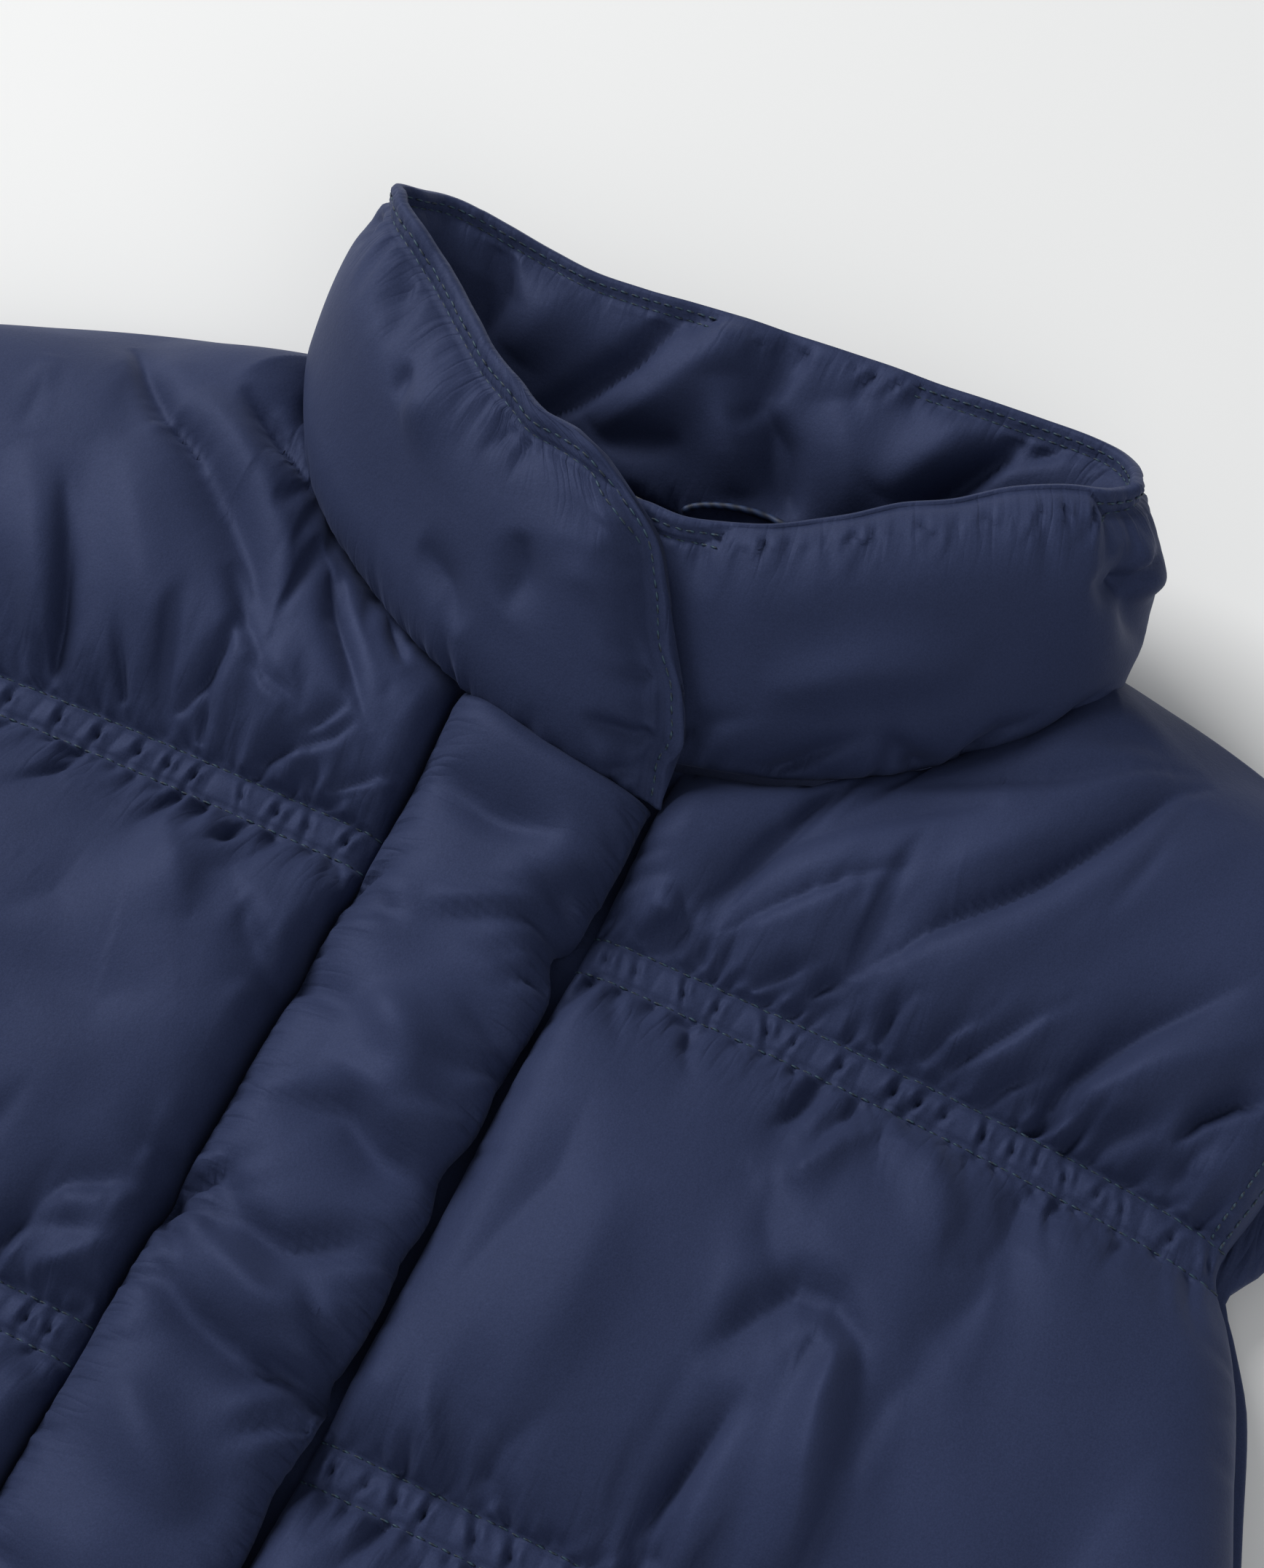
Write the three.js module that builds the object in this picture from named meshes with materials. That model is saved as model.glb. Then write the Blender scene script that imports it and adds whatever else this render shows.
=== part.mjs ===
// A padded, gathered vest that lies on its back with its front closed. Sizes are in mm.
// X runs to the wearer's left, Y towards the neck and Z up from the surface it lies on.
import * as THREE from 'three';

// Driving sizes. Y is counted from the front neck seam until the last step moves the origin.
const seamGap = 0.3;
const hemY = -455;
const channelYs = [-46, -180, -314];
const channelWidth = 9.6;
const channelDroop = 8;
const gathersPerChannel = 24;
const gather = { depth: 2.3, onChannel: 1.3, shortest: 7, longest: 24, atStitch: 0.35, swellsOver: 5 };
const channelPull = { by: 6, over: 12 };
const hemRise = 7;

const backWall = { thickness: 14, edge: 4, underReach: 15, armholeReach: 8, armholeDrop: 3 };
const backTopEase = { fromY: -38, seam: 0.7, step: 0.002 };
const frontWall = { rest: backWall.thickness + 0.4, edge: 3.6, puff: 19 };
const reach = { channel: 27, frontEdge: 22, sideEdge: 24, armholeEdge: 15, topEdge: 30, hem: 14 };

const placket = { left: -28, right: 27, thickness: 20.5, endThickness: 4.6, clearance: 1 };
const placketEnd = { slantOver: 40, reach: 26, start: 0.4 };
const placketSteps = { top: [0, 2, 6, 12], from: 20, by: 11, bottom: [12, 5, 1, 0] };
const frontEdges = { left: -20, right: -28.3, restsTo: 27.3 };
const shoulderTip = { x: 212, y: 42, bowLeft: 7, bowRight: 3.5 };
const neckPointAt = 0.287;
const backNeckPointAt = 0.303;
const neckColumnX = 105;
const neckLift = { reach: 32, sewnDepth: 3.6, ease: 1.1 };

const collarEdge = 1.7;
const collarTurn = { step: 0.006, followsTop: 0.8 };
const collarFill = { inner: 2.2, lapClears: 6, crispTop: 0.62, softFoot: 1.15, upper: 0.5 };
const collarSections = { even: 54, corners: [0.298, 0.702], near: [-0.012, -0.004, 0.004, 0.012] };
const lapEnd = { slant: 0.024, corner: 0.03, cornerFrom: 0.6, over: 0.09, near: [0.003, 0.008] };
const hanger = { middle: 0.4835, span: 0.11, foot: 0.1, rise: 0.13, radius: 0.9, gap: 0.5, steps: 12 };

// Half width of the front at each height: side seam, underarm, armhole and shoulder tip.
const sideEdge = [
  { y: -455, x: 231 }, { y: -300, x: 230 }, { y: -152, x: 228 }, { y: -128, x: 220 },
  { y: -103, x: 211 }, { y: -80, x: 203 }, { y: -66, x: 196 }, { y: -54, x: 189 },
  { y: -36, x: 192 }, { y: 0, x: 200 }, { y: 42, x: 212 },
];

// The back's armhole edge shows this far outside the front's.
const backShows = [
  { y: -160, by: 0 }, { y: -120, by: 3 }, { y: -80, by: 4 }, { y: -58, by: 3 },
  { y: -46, by: 9 }, { y: -20, by: 9 }, { y: 20, by: 6 }, { y: 42, by: 1 },
];

// Wearer's left half of the neck seam, from the front middle round to the back middle.
const neckSeam = [
  { x: 0, y: 1, z: 26 }, { x: 28, y: 8, z: 26 }, { x: 54, y: 17, z: 25 },
  { x: 76, y: 32, z: 24 }, { x: 92, y: 54, z: 21 }, { x: 99, y: 74, z: 18.5 },
  { x: 93, y: 87, z: 17 }, { x: 64, y: 83, z: 15.5 }, { x: 32, y: 79, z: 15 },
  { x: 0, y: 77, z: 15 },
];

// Top edge of the collar against the way round the neck seam, from the under end at the front,
// by the wearer's left side and the back, to the over end. Puff is the outer bulge, over lifts
// the end that laps, drop lets its foot sag.
const collarRows = [
  { at: -0.035, x: -14, y: 48, z: 65, puff: 3, over: 0, drop: 0 },
  { at: 0.02, x: 8, y: 47, z: 66, puff: 4, over: 0, drop: 0 },
  { at: 0.07, x: 30, y: 54, z: 68, puff: 11, over: 0, drop: 0 },
  { at: 0.125, x: 54, y: 71, z: 69, puff: 14, over: 0, drop: 0 },
  { at: 0.18, x: 79, y: 89, z: 69, puff: 15, over: 0, drop: 0 },
  { at: 0.235, x: 97, y: 98, z: 67, puff: 15, over: 0, drop: 0 },
  { at: 0.285, x: 101, y: 107, z: 61, puff: 11, over: 0, drop: 0 },
  { at: 0.33, x: 90, y: 121, z: 50, puff: 9, over: 0, drop: 0 },
  { at: 0.41, x: 48, y: 123, z: 46, puff: 9, over: 0, drop: 0 },
  { at: 0.5, x: 0, y: 121, z: 45, puff: 9, over: 0, drop: 0 },
  { at: 0.59, x: -48, y: 117, z: 45, puff: 9, over: 0, drop: 0 },
  { at: 0.67, x: -88, y: 118, z: 50, puff: 9, over: 0, drop: 0 },
  { at: 0.715, x: -98, y: 107, z: 63, puff: 10, over: 0, drop: 0 },
  { at: 0.765, x: -92, y: 97, z: 71, puff: 12, over: 0, drop: 0 },
  { at: 0.82, x: -74, y: 84, z: 73, puff: 15, over: 0, drop: 0 },
  { at: 0.875, x: -54, y: 68, z: 74, puff: 14, over: 1, drop: 0 },
  { at: 0.93, x: -34, y: 57, z: 75, puff: 13, over: 6, drop: 0 },
  { at: 0.975, x: -13, y: 51, z: 76, puff: 12, over: 9, drop: 0 },
  { at: 1.02, x: 7, y: 46, z: 76, puff: 12, over: 9.5, drop: 2 },
  { at: 1.06, x: 29, y: 38, z: 75, puff: 11, over: 11, drop: 8 },
];

// Dents in the collar: where round the neck, how far up it, how deep and how wide. The face is 1
// outside and -1 inside.
const collarDents = [
  { at: 0.79, up: 0.55, face: 1, depth: 4, round: 0.018, tall: 0.3 },
  { at: 0.745, up: 0.75, face: 1, depth: 3, round: 0.012, tall: 0.25 },
  { at: 0.9, up: 0.95, face: 1, depth: 3, round: 0.016, tall: 0.3 },
  { at: 1.03, up: 0.35, face: 1, depth: 3, round: 0.02, tall: 0.12 },
  { at: 0.215, up: 0.35, face: 1, depth: 3.5, round: 0.02, tall: 0.2 },
  { at: 0.11, up: 0.05, face: 1, depth: 3, round: 0.03, tall: 0.15 },
  { at: 0.62, up: 0.6, face: -1, depth: -2.5, round: 0.02, tall: 0.4 },
  { at: 0.55, up: 0.5, face: -1, depth: -3.5, round: 0.03, tall: 0.3 },
  { at: 0.46, up: 0.5, face: -1, depth: -3, round: 0.03, tall: 0.3 },
  { at: 0.38, up: 0.5, face: -1, depth: -3, round: 0.03, tall: 0.35 },
];

// The largest folds of the fronts, from one end to the other. Height is above the puffed
// surface, so a trough has a negative one; half is half the fold's width.
const frontFolds = [
  { x1: -152, y1: 54, x2: -132, y2: 36, height: -5, half: 5 },
  { x1: -132, y1: 36, x2: -102, y2: 12, height: -3.5, half: 6 },
  { x1: -102, y1: 12, x2: -68, y2: -22, height: -3, half: 7 },
  { x1: -130, y1: 54, x2: -93, y2: 24, height: 3, half: 7 },
  { x1: -93, y1: 24, x2: -56, y2: -18, height: 3.5, half: 7 },
  { x1: -118, y1: 50, x2: -88, y2: 32, height: -4, half: 5 },
  { x1: -72, y1: 24, x2: -41, y2: -22, height: -3, half: 6 },
  { x1: -143, y1: 12, x2: -120, y2: -38, height: -4, half: 5 },
  { x1: -161, y1: 36, x2: -128, y2: -8, height: 3, half: 8 },
  { x1: -185, y1: 34, x2: -160, y2: -26, height: -3, half: 7 },
  { x1: -81, y1: -8, x2: -78, y2: -38, height: -3, half: 4 },
  { x1: -59, y1: -63, x2: -27, y2: -90, height: -4, half: 5 },
  { x1: -75, y1: -62, x2: -60, y2: -84, height: 3, half: 7 },
  { x1: -90, y1: -114, x2: -51, y2: -103, height: -3, half: 12 },
  { x1: -62, y1: -168, x2: -27, y2: -141, height: -4, half: 5 },
  { x1: -38, y1: -141, x2: -27, y2: -131, height: 3, half: 4 },
  { x1: -150, y1: -66, x2: -132, y2: -98, height: -3, half: 6 },
  { x1: -186, y1: -80, x2: -168, y2: -116, height: 3, half: 9 },
  { x1: 34, y1: -29, x2: 65, y2: -11, height: -3, half: 5 },
  { x1: 65, y1: -11, x2: 86, y2: 8, height: -3, half: 6 },
  { x1: 56, y1: -36, x2: 95, y2: 0, height: 3, half: 6 },
  { x1: 85, y1: -34, x2: 112, y2: 1, height: -4.5, half: 6 },
  { x1: 112, y1: 1, x2: 141, y2: 50, height: -4.5, half: 7 },
  { x1: 122, y1: -26, x2: 160, y2: 36, height: 3, half: 9 },
  { x1: 140, y1: -38, x2: 170, y2: 18, height: -4, half: 7 },
  { x1: 163, y1: -42, x2: 186, y2: -10, height: -4, half: 5 },
  { x1: 101, y1: -52, x2: 95, y2: -74, height: -4.5, half: 5 },
  { x1: 103, y1: -60, x2: 133, y2: -83, height: 3, half: 7 },
  { x1: 129, y1: -54, x2: 132, y2: -68, height: -3, half: 4 },
  { x1: 144, y1: -54, x2: 142, y2: -80, height: -3, half: 6 },
  { x1: 148, y1: -76, x2: 134, y2: -108, height: -3, half: 8 },
  { x1: 98, y1: -120, x2: 112, y2: -103, height: -4, half: 6 },
  { x1: 112, y1: -103, x2: 128, y2: -118, height: -4.5, half: 6 },
  { x1: 112, y1: -113, x2: 123, y2: -124, height: 4, half: 5 },
  { x1: 123, y1: -126, x2: 131, y2: -160, height: -4, half: 6 },
  { x1: 107, y1: -138, x2: 100, y2: -168, height: -3.5, half: 6 },
  { x1: 45, y1: -150, x2: 52, y2: -168, height: 3, half: 5 },
  { x1: 188, y1: -110, x2: 176, y2: -168, height: -2.5, half: 9 },
  { x1: -176, y1: -190, x2: -160, y2: -232, height: -3.5, half: 6 },
  { x1: -120, y1: -192, x2: -96, y2: -224, height: 3, half: 8 },
  { x1: -92, y1: -262, x2: -44, y2: -246, height: -3, half: 8 },
  { x1: -150, y1: -300, x2: -138, y2: -262, height: -3.5, half: 6 },
  { x1: 58, y1: -190, x2: 84, y2: -226, height: -3.5, half: 6 },
  { x1: 134, y1: -190, x2: 128, y2: -220, height: -4, half: 5 },
  { x1: 118, y1: -250, x2: 162, y2: -268, height: -3, half: 8 },
  { x1: 186, y1: -302, x2: 170, y2: -262, height: 3, half: 8 },
  { x1: -184, y1: -324, x2: -166, y2: -372, height: -3.5, half: 7 },
  { x1: -104, y1: -326, x2: -92, y2: -364, height: -4, half: 5 },
  { x1: -70, y1: -414, x2: -36, y2: -386, height: 3, half: 8 },
  { x1: 52, y1: -324, x2: 66, y2: -366, height: -4, half: 6 },
  { x1: 112, y1: -326, x2: 136, y2: -372, height: 3, half: 8 },
  { x1: 150, y1: -444, x2: 162, y2: -392, height: -3, half: 7 },
  { x1: 196, y1: -326, x2: 178, y2: -366, height: -3.5, half: 6 },
];

// Folds that cross the placket, and the places where its free edge is pinched in.
const placketFolds = [
  { x1: -10, y1: -58, x2: 26, y2: -34, height: -4, half: 5 },
  { x1: -18, y1: -66, x2: 22, y2: -48, height: 2.5, half: 5 },
  { x1: 2, y1: -72, x2: 24, y2: -82, height: -3, half: 5 },
  { x1: -16, y1: -113, x2: 12, y2: -116, height: -3, half: 6 },
  { x1: 12, y1: -116, x2: 29, y2: -111, height: -4, half: 4 },
  { x1: -20, y1: -134, x2: 4, y2: -146, height: -3, half: 6 },
  { x1: -22, y1: -157, x2: 4, y2: -169, height: -4, half: 6 },
  { x1: 4, y1: -169, x2: 28, y2: -163, height: -4.5, half: 5 },
  { x1: -22, y1: -232, x2: 14, y2: -240, height: -4, half: 6 },
  { x1: -12, y1: -280, x2: 26, y2: -270, height: -3.5, half: 6 },
  { x1: -22, y1: -322, x2: 20, y2: -336, height: -4, half: 6 },
  { x1: -16, y1: -392, x2: 24, y2: -380, height: -4, half: 6 },
];
const placketPinches = [
  { y: -36, in: 1.5 }, { y: -52, in: 5 }, { y: -112, in: 3 }, { y: -164, in: 2 },
  { y: -238, in: 3 }, { y: -314, in: 3 }, { y: -384, in: 3 },
];
const pinchHalf = 9;
const placketTop = [{ across: 0, y: 0.2 }, { across: 0.5, y: -9.8 }, { across: 1, y: -14 }];

// A section of the placket: across from its seam to its free edge, and up from its underside.
const placketSection = [
  { across: 0, up: 0 }, { across: 0.4, up: 0 }, { across: 0.82, up: 0 }, { across: 0.95, up: 0.09 },
  { across: 1, up: 0.34 }, { across: 0.985, up: 0.62 }, { across: 0.9, up: 0.84 },
  { across: 0.74, up: 0.96 }, { across: 0.54, up: 1 }, { across: 0.34, up: 0.97 },
  { across: 0.17, up: 0.84 }, { across: 0.06, up: 0.58 }, { across: 0, up: 0.2 },
];

// Colour and finish of each piece.
const navy = { color: 0x2b3154, roughness: 0.55, metalness: 0 };
const loopBlue = { color: 0x1f2b45, roughness: 0.7, metalness: 0 };

// A steady stand-in for chance, between 0 and 1.
function scatter(index, salt) {
  const wave = Math.sin(index * 12.9898 + salt * 78.233) * 43758.5453;
  return wave - Math.floor(wave);
}

// One column of a table read smoothly at any place between its rows.
function readTable(rows, by, column, at) {
  const last = rows.length - 1;
  if (at <= rows[0][by]) return rows[0][column];
  if (at >= rows[last][by]) return rows[last][column];
  let i = 0;
  while (rows[i + 1][by] < at) i += 1;
  const slopeAt = (k) => {
    const before = rows[Math.max(k - 1, 0)];
    const after = rows[Math.min(k + 1, last)];
    return (after[column] - before[column]) / (after[by] - before[by]);
  };
  const span = rows[i + 1][by] - rows[i][by];
  const t = (at - rows[i][by]) / span;
  const rise = t * t * (3 - 2 * t);
  const leave = t * (1 - t) * (1 - t) * span * slopeAt(i);
  const arrive = t * t * (t - 1) * span * slopeAt(i + 1);
  return rows[i][column] * (1 - rise) + rows[i + 1][column] * rise + leave + arrive;
}

const clampShare = (share) => THREE.MathUtils.clamp(share, 0, 1);

// The rounded rise of padding from a seam: 0 at the seam, 1 from the given reach on.
function crown(distance, span) {
  const left = 1 - clampShare(distance / span);
  return Math.sqrt(1 - left * left);
}

// A gentler rise, for padding that leans away from the seam.
function slope(distance, span) {
  return Math.sin((Math.PI / 2) * clampShare(distance / span));
}

// Height that a table of folds adds at one place.
function foldHeight(folds, x, y) {
  let sum = 0;
  for (const fold of folds) {
    const dx = fold.x2 - fold.x1;
    const dy = fold.y2 - fold.y1;
    const along = ((x - fold.x1) * dx + (y - fold.y1) * dy) / (dx * dx + dy * dy);
    const t = clampShare(along);
    const off = Math.hypot(x - fold.x1 - t * dx, y - fold.y1 - t * dy) / fold.half;
    sum += fold.height * Math.exp(-off * off);
  }
  return sum;
}

// Points and triangles of one closed piece.
class Shell {
  constructor() {
    this.points = [];
    this.faces = [];
  }

  // A row of points, each with its share of the way along.
  row(places, shares = places.map((_, k) => k / (places.length - 1))) {
    return places.map((place, k) => ({ index: this.points.push(place) - 1, share: shares[k] }));
  }

  // Joins two rows that run the same way, whatever number of points each has.
  zip(a, b) {
    let i = 0;
    let j = 0;
    while (i < a.length - 1 || j < b.length - 1) {
      const stepA = j === b.length - 1 || (i < a.length - 1 && a[i + 1].share <= b[j + 1].share);
      this.face(a[i].index, b[j].index, stepA ? a[i + 1].index : b[j + 1].index);
      if (stepA) i += 1;
      else j += 1;
    }
  }

  // One end of every row in turn, with the rows' own shares of the way down.
  static side(rows, end, shares) {
    return rows.map((row, k) => ({ index: row.at(end).index, share: shares[k] }));
  }

  face(a, b, c) {
    if (a !== b && b !== c && c !== a) this.faces.push([a, b, c]);
  }

  // Closes a ring with a fan from its middle.
  cap(ring, outwards) {
    const middle = new THREE.Vector3();
    for (const { index } of ring) middle.add(this.points[index]);
    middle.divideScalar(ring.length);
    const [centre] = this.row([middle], [0]);
    ring.forEach(({ index }, k) => {
      const next = ring[(k + 1) % ring.length].index;
      if (outwards) this.face(centre.index, index, next);
      else this.face(centre.index, next, index);
    });
  }

  // Sections of equal length joined in turn, each a ring, with both ends closed.
  static loft(sections) {
    const shell = new Shell();
    const rings = sections.map((section) => shell.row(section));
    for (let k = 1; k < rings.length; k += 1) {
      const a = rings[k - 1];
      const b = rings[k];
      const close = (ring) => [...ring, { index: ring[0].index, share: 2 }];
      shell.zip(close(a), close(b));
    }
    shell.cap(rings[0], true);
    shell.cap(rings[rings.length - 1], false);
    return shell;
  }

  mesh(name, finish, mirrored = false) {
    const sign = mirrored ? -1 : 1;
    const positions = this.points.flatMap((p) => [sign * p.x, p.y, p.z]);
    const order = this.faces.flatMap(([a, b, c]) => (mirrored ? [a, c, b] : [a, b, c]));
    const geometry = new THREE.BufferGeometry();
    geometry.setAttribute('position', new THREE.Float32BufferAttribute(positions, 3));
    geometry.setIndex(order);
    geometry.computeVertexNormals();
    return namedMesh(name, geometry, finish);
  }
}

function namedMesh(name, geometry, finish) {
  const mesh = new THREE.Mesh(geometry, new THREE.MeshStandardMaterial(finish));
  mesh.name = name;
  return mesh;
}

// The neck seam as one closed curve, front middle first and by the wearer's left side.
const leftHalf = neckSeam.map((p) => new THREE.Vector3(p.x, p.y, p.z));
const rightHalf = neckSeam.slice(1, -1).reverse().map((p) => new THREE.Vector3(-p.x, p.y, p.z));
const neckCurve = new THREE.CatmullRomCurve3([...leftHalf, ...rightHalf], true, 'centripetal');
neckCurve.arcLengthDivisions = 800;

const wrap = (at) => at - Math.floor(at);
const neckPoint = (at) => neckCurve.getPointAt(wrap(at));

// A point of the neck seam moved away from the neck in plan, or into it by a negative distance.
function besideNeck(at, distance) {
  const tangent = neckCurve.getTangentAt(wrap(at));
  const outwards = new THREE.Vector3(tangent.y, -tangent.x, 0).normalize();
  return neckPoint(at).addScaledVector(outwards, distance);
}

// Where the neck seam crosses a given X near the front middle.
function neckAtX(x) {
  const step = 0.001;
  let at = collarRows[0].at - neckPointAt / 4;
  while (besideNeck(at, 0).x < x) at += step;
  return at;
}

// Half width of a panel at a height, drawn in a little where a channel gathers it.
function sideX(y) {
  const base = readTable(sideEdge, 'y', 'x', y);
  const pull = channelYs.slice(1).reduce((sum, middle) => {
    const off = (y - middle) / channelPull.over;
    return sum + channelPull.by * Math.exp(-off * off);
  }, 0);
  return base - pull;
}

// Top outline of one front: along the neck seam, then down the shoulder to its tip.
function frontTop(cut, s) {
  if (s <= cut.neckShare) {
    const isCovered = s < cut.restShare;
    const t = isCovered ? s / cut.restShare : (s - cut.restShare) / (cut.neckShare - cut.restShare);
    const from = neckAtX(isCovered ? cut.innerX : cut.restX);
    const to = isCovered ? neckAtX(cut.restX) : neckPointAt;
    return besideNeck(THREE.MathUtils.lerp(from, to, t), collarEdge + seamGap + neckLift.ease);
  }
  const t = (s - cut.neckShare) / (1 - cut.neckShare);
  const start = besideNeck(neckPointAt, collarEdge + seamGap + neckLift.ease);
  const x = THREE.MathUtils.lerp(start.x, shoulderTip.x, t);
  const y = THREE.MathUtils.lerp(start.y, shoulderTip.y, t) + cut.bow * Math.sin(Math.PI * t);
  return new THREE.Vector3(x, y, 0);
}

// How one front is cut: from its front edge at innerX, covered by the placket as far as restX.
// Shares of its width say where the cover ends and where the neck point is.
function cutFront(innerX, restX, bow, mirrored) {
  const width = sideX(channelYs[0]) - innerX;
  const restShare = (restX - innerX) / width;
  const neckShare = (neckColumnX - innerX) / width;
  return { innerX, restX, bow, restShare, neckShare, mirrored };
}

// X of a share of a front's width at one height.
function acrossX(cut, s, y) {
  if (s < cut.restShare) return THREE.MathUtils.lerp(cut.innerX, cut.restX, s / cut.restShare);
  return THREE.MathUtils.lerp(cut.restX, sideX(y), (s - cut.restShare) / (1 - cut.restShare));
}

// The lines across one front that bound its padded parts and its channels, from the top down.
function frontLines(cut) {
  const lines = [(s) => frontTop(cut, s)];
  for (const [k, middle] of channelYs.entries()) {
    for (const half of [channelWidth / 2, -channelWidth / 2]) {
      lines.push((s) => {
        const droop = k === 0 ? channelDroop * s ** 4 : 0;
        const y = middle + half - droop;
        return new THREE.Vector3(acrossX(cut, s, y), y, 0);
      });
    }
  }
  lines.push((s) => new THREE.Vector3(acrossX(cut, s, hemY), hemY + hemRise * s ** 3, 0));
  return lines;
}

const leftCut = cutFront(frontEdges.left, frontEdges.restsTo, shoulderTip.bowLeft, false);
const rightCut = cutFront(-frontEdges.right, -frontEdges.right, shoulderTip.bowRight, true);

// A place on a front: share s from its front edge, share f of the way from one line to the next.
function frontPlace(lines, part, s, f) {
  const above = lines[part](s);
  const below = lines[part + 1](s);
  const place = above.clone().lerp(below, f);
  const edge = lines[part](1).lerp(lines[part + 1](1), f);
  place.x += (sideX(edge.y) - edge.x) * s * s;
  return { place, length: above.distanceTo(below) };
}

// How far the open neck lifts a front off the back, at a distance from the neck seam.
function liftAtNeck(distance, seamZ) {
  const fade = THREE.MathUtils.smoothstep(1 - distance / neckLift.reach, 0, 1);
  return Math.max(seamZ - neckLift.sewnDepth - frontWall.rest, 0) * fade;
}

// Ridges that run out from a channel's stitches, a different length for each gather.
function gatherHeight(share, distance, salt) {
  const turn = share * gathersPerChannel;
  const chance = scatter(Math.round(turn), salt) ** 2;
  const length = THREE.MathUtils.lerp(gather.shortest, gather.longest, chance);
  const swell = Math.min(1, gather.atStitch + distance / gather.swellsOver);
  return -gather.depth * Math.cos(2 * Math.PI * turn) * swell * Math.exp(-distance / length);
}

// Places along the top outline of a front, and those of them on the neck seam.
function outlineSamples(cut, lines) {
  const count = 120;
  const topSamples = Array.from({ length: count + 1 }, (_, k) => lines[0](k / count));
  return { topSamples, neckSamples: topSamples.slice(0, Math.floor(count * cut.neckShare) + 1) };
}

// Distance in plan from a place to the nearest of some samples of an outline.
function distanceTo(samples, place) {
  return Math.min(...samples.map((p) => Math.hypot(place.x - p.x, place.y - p.y)));
}

// Heights of a front's inner and outer faces at one place.
function frontHeights(front, part, s, f) {
  const { place, length } = frontPlace(front.lines, part, s, f);
  const isChannel = part % 2 === 1;
  const isYoke = part === 0;
  const isSkirt = part === front.lines.length - 2;
  const fromTop = isYoke ? distanceTo(front.topSamples, place) : f * length;
  const fromBottom = (1 - f) * length;
  const lift = isYoke ? liftAtNeck(distanceTo(front.neckSamples, place), front.lines[0](s).z) : 0;
  const inner = frontWall.rest + lift;
  const fromSide = sideX(place.y) - place.x;
  const edgeReach = isYoke ? reach.armholeEdge : reach.sideEdge;
  const bySide = crown(fromSide, edgeReach);
  const fromFront = s <= front.restShare ? 0 : place.x - front.restX;
  const share = Math.max(s - front.restShare, 0) / (1 - front.restShare);
  const byFront = crown(fromFront, reach.frontEdge);
  const realX = front.mirrored ? -place.x : place.x;
  if (isChannel) {
    const ruche = 0.5 - 0.5 * Math.cos(2 * Math.PI * share * gathersPerChannel);
    const ridge = gather.onChannel * ruche * Math.sin(Math.PI * f) * Math.min(byFront, bySide);
    return { place, inner, outer: inner + frontWall.edge + ridge };
  }
  const byTop = isYoke ? slope(fromTop, reach.topEdge) : crown(fromTop, reach.channel);
  const byBottom = crown(fromBottom, isSkirt ? reach.hem : reach.channel);
  const puff = (frontWall.puff - lift * 0.5) * byTop * byBottom * byFront * bySide;
  const spread = Math.min(byFront, bySide);
  let ridges = isSkirt ? 0 : gatherHeight(share, fromBottom, part) * spread;
  ridges += isYoke ? 0 : gatherHeight(share, fromTop, part + 9) * spread;
  const folds = foldHeight(frontFolds, realX, place.y) * spread * Math.min(byTop, byBottom);
  const outer = inner + frontWall.edge + Math.max(puff + ridges + folds, 0);
  return { place, inner, outer };
}

// Rows of one front from the top down. Fine rows carry the gathers, the others half as many points.
const yokeRows = [0, 0.03, 0.09, 0.18, 0.3, 0.44, 0.58, 0.7, 0.8];
const yokeFineRows = [0.89, 0.96];
const panelRows = [0.15, 0.24, 0.36, 0.5, 0.64, 0.76, 0.85];
const skirtRows = [0.15, 0.26, 0.4, 0.55, 0.7, 0.83, 0.93, 0.98, 1];
const nearChannel = [0.02, 0.07];

function frontRowPlan() {
  const plan = [];
  const add = (part, f, fine) => plan.push({ part, f, fine });
  yokeRows.forEach((f) => add(0, f, f === 0));
  yokeFineRows.forEach((f) => add(0, f, true));
  channelYs.forEach((middle, k) => {
    const channel = 2 * k + 1;
    const isLast = k === channelYs.length - 1;
    [0, 0.5, 1].forEach((f) => add(channel, f, true));
    nearChannel.forEach((f) => add(channel + 1, f, true));
    (isLast ? skirtRows : panelRows).forEach((f) => add(channel + 1, f, false));
    if (!isLast) [...nearChannel].reverse().forEach((f) => add(channel + 1, 1 - f, true));
  });
  return plan;
}

// Shares across a front: a few steps where the placket covers it, then the given number of steps.
const coveredSteps = [0, 0.25, 0.5, 0.75];

function frontShares(restShare, count) {
  const covered = restShare > 0 ? coveredSteps.map((k) => k * restShare) : [];
  const open = Array.from({ length: count + 1 }, (_, k) => restShare + ((1 - restShare) * k) / count);
  return [...covered, ...open];
}

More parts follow.
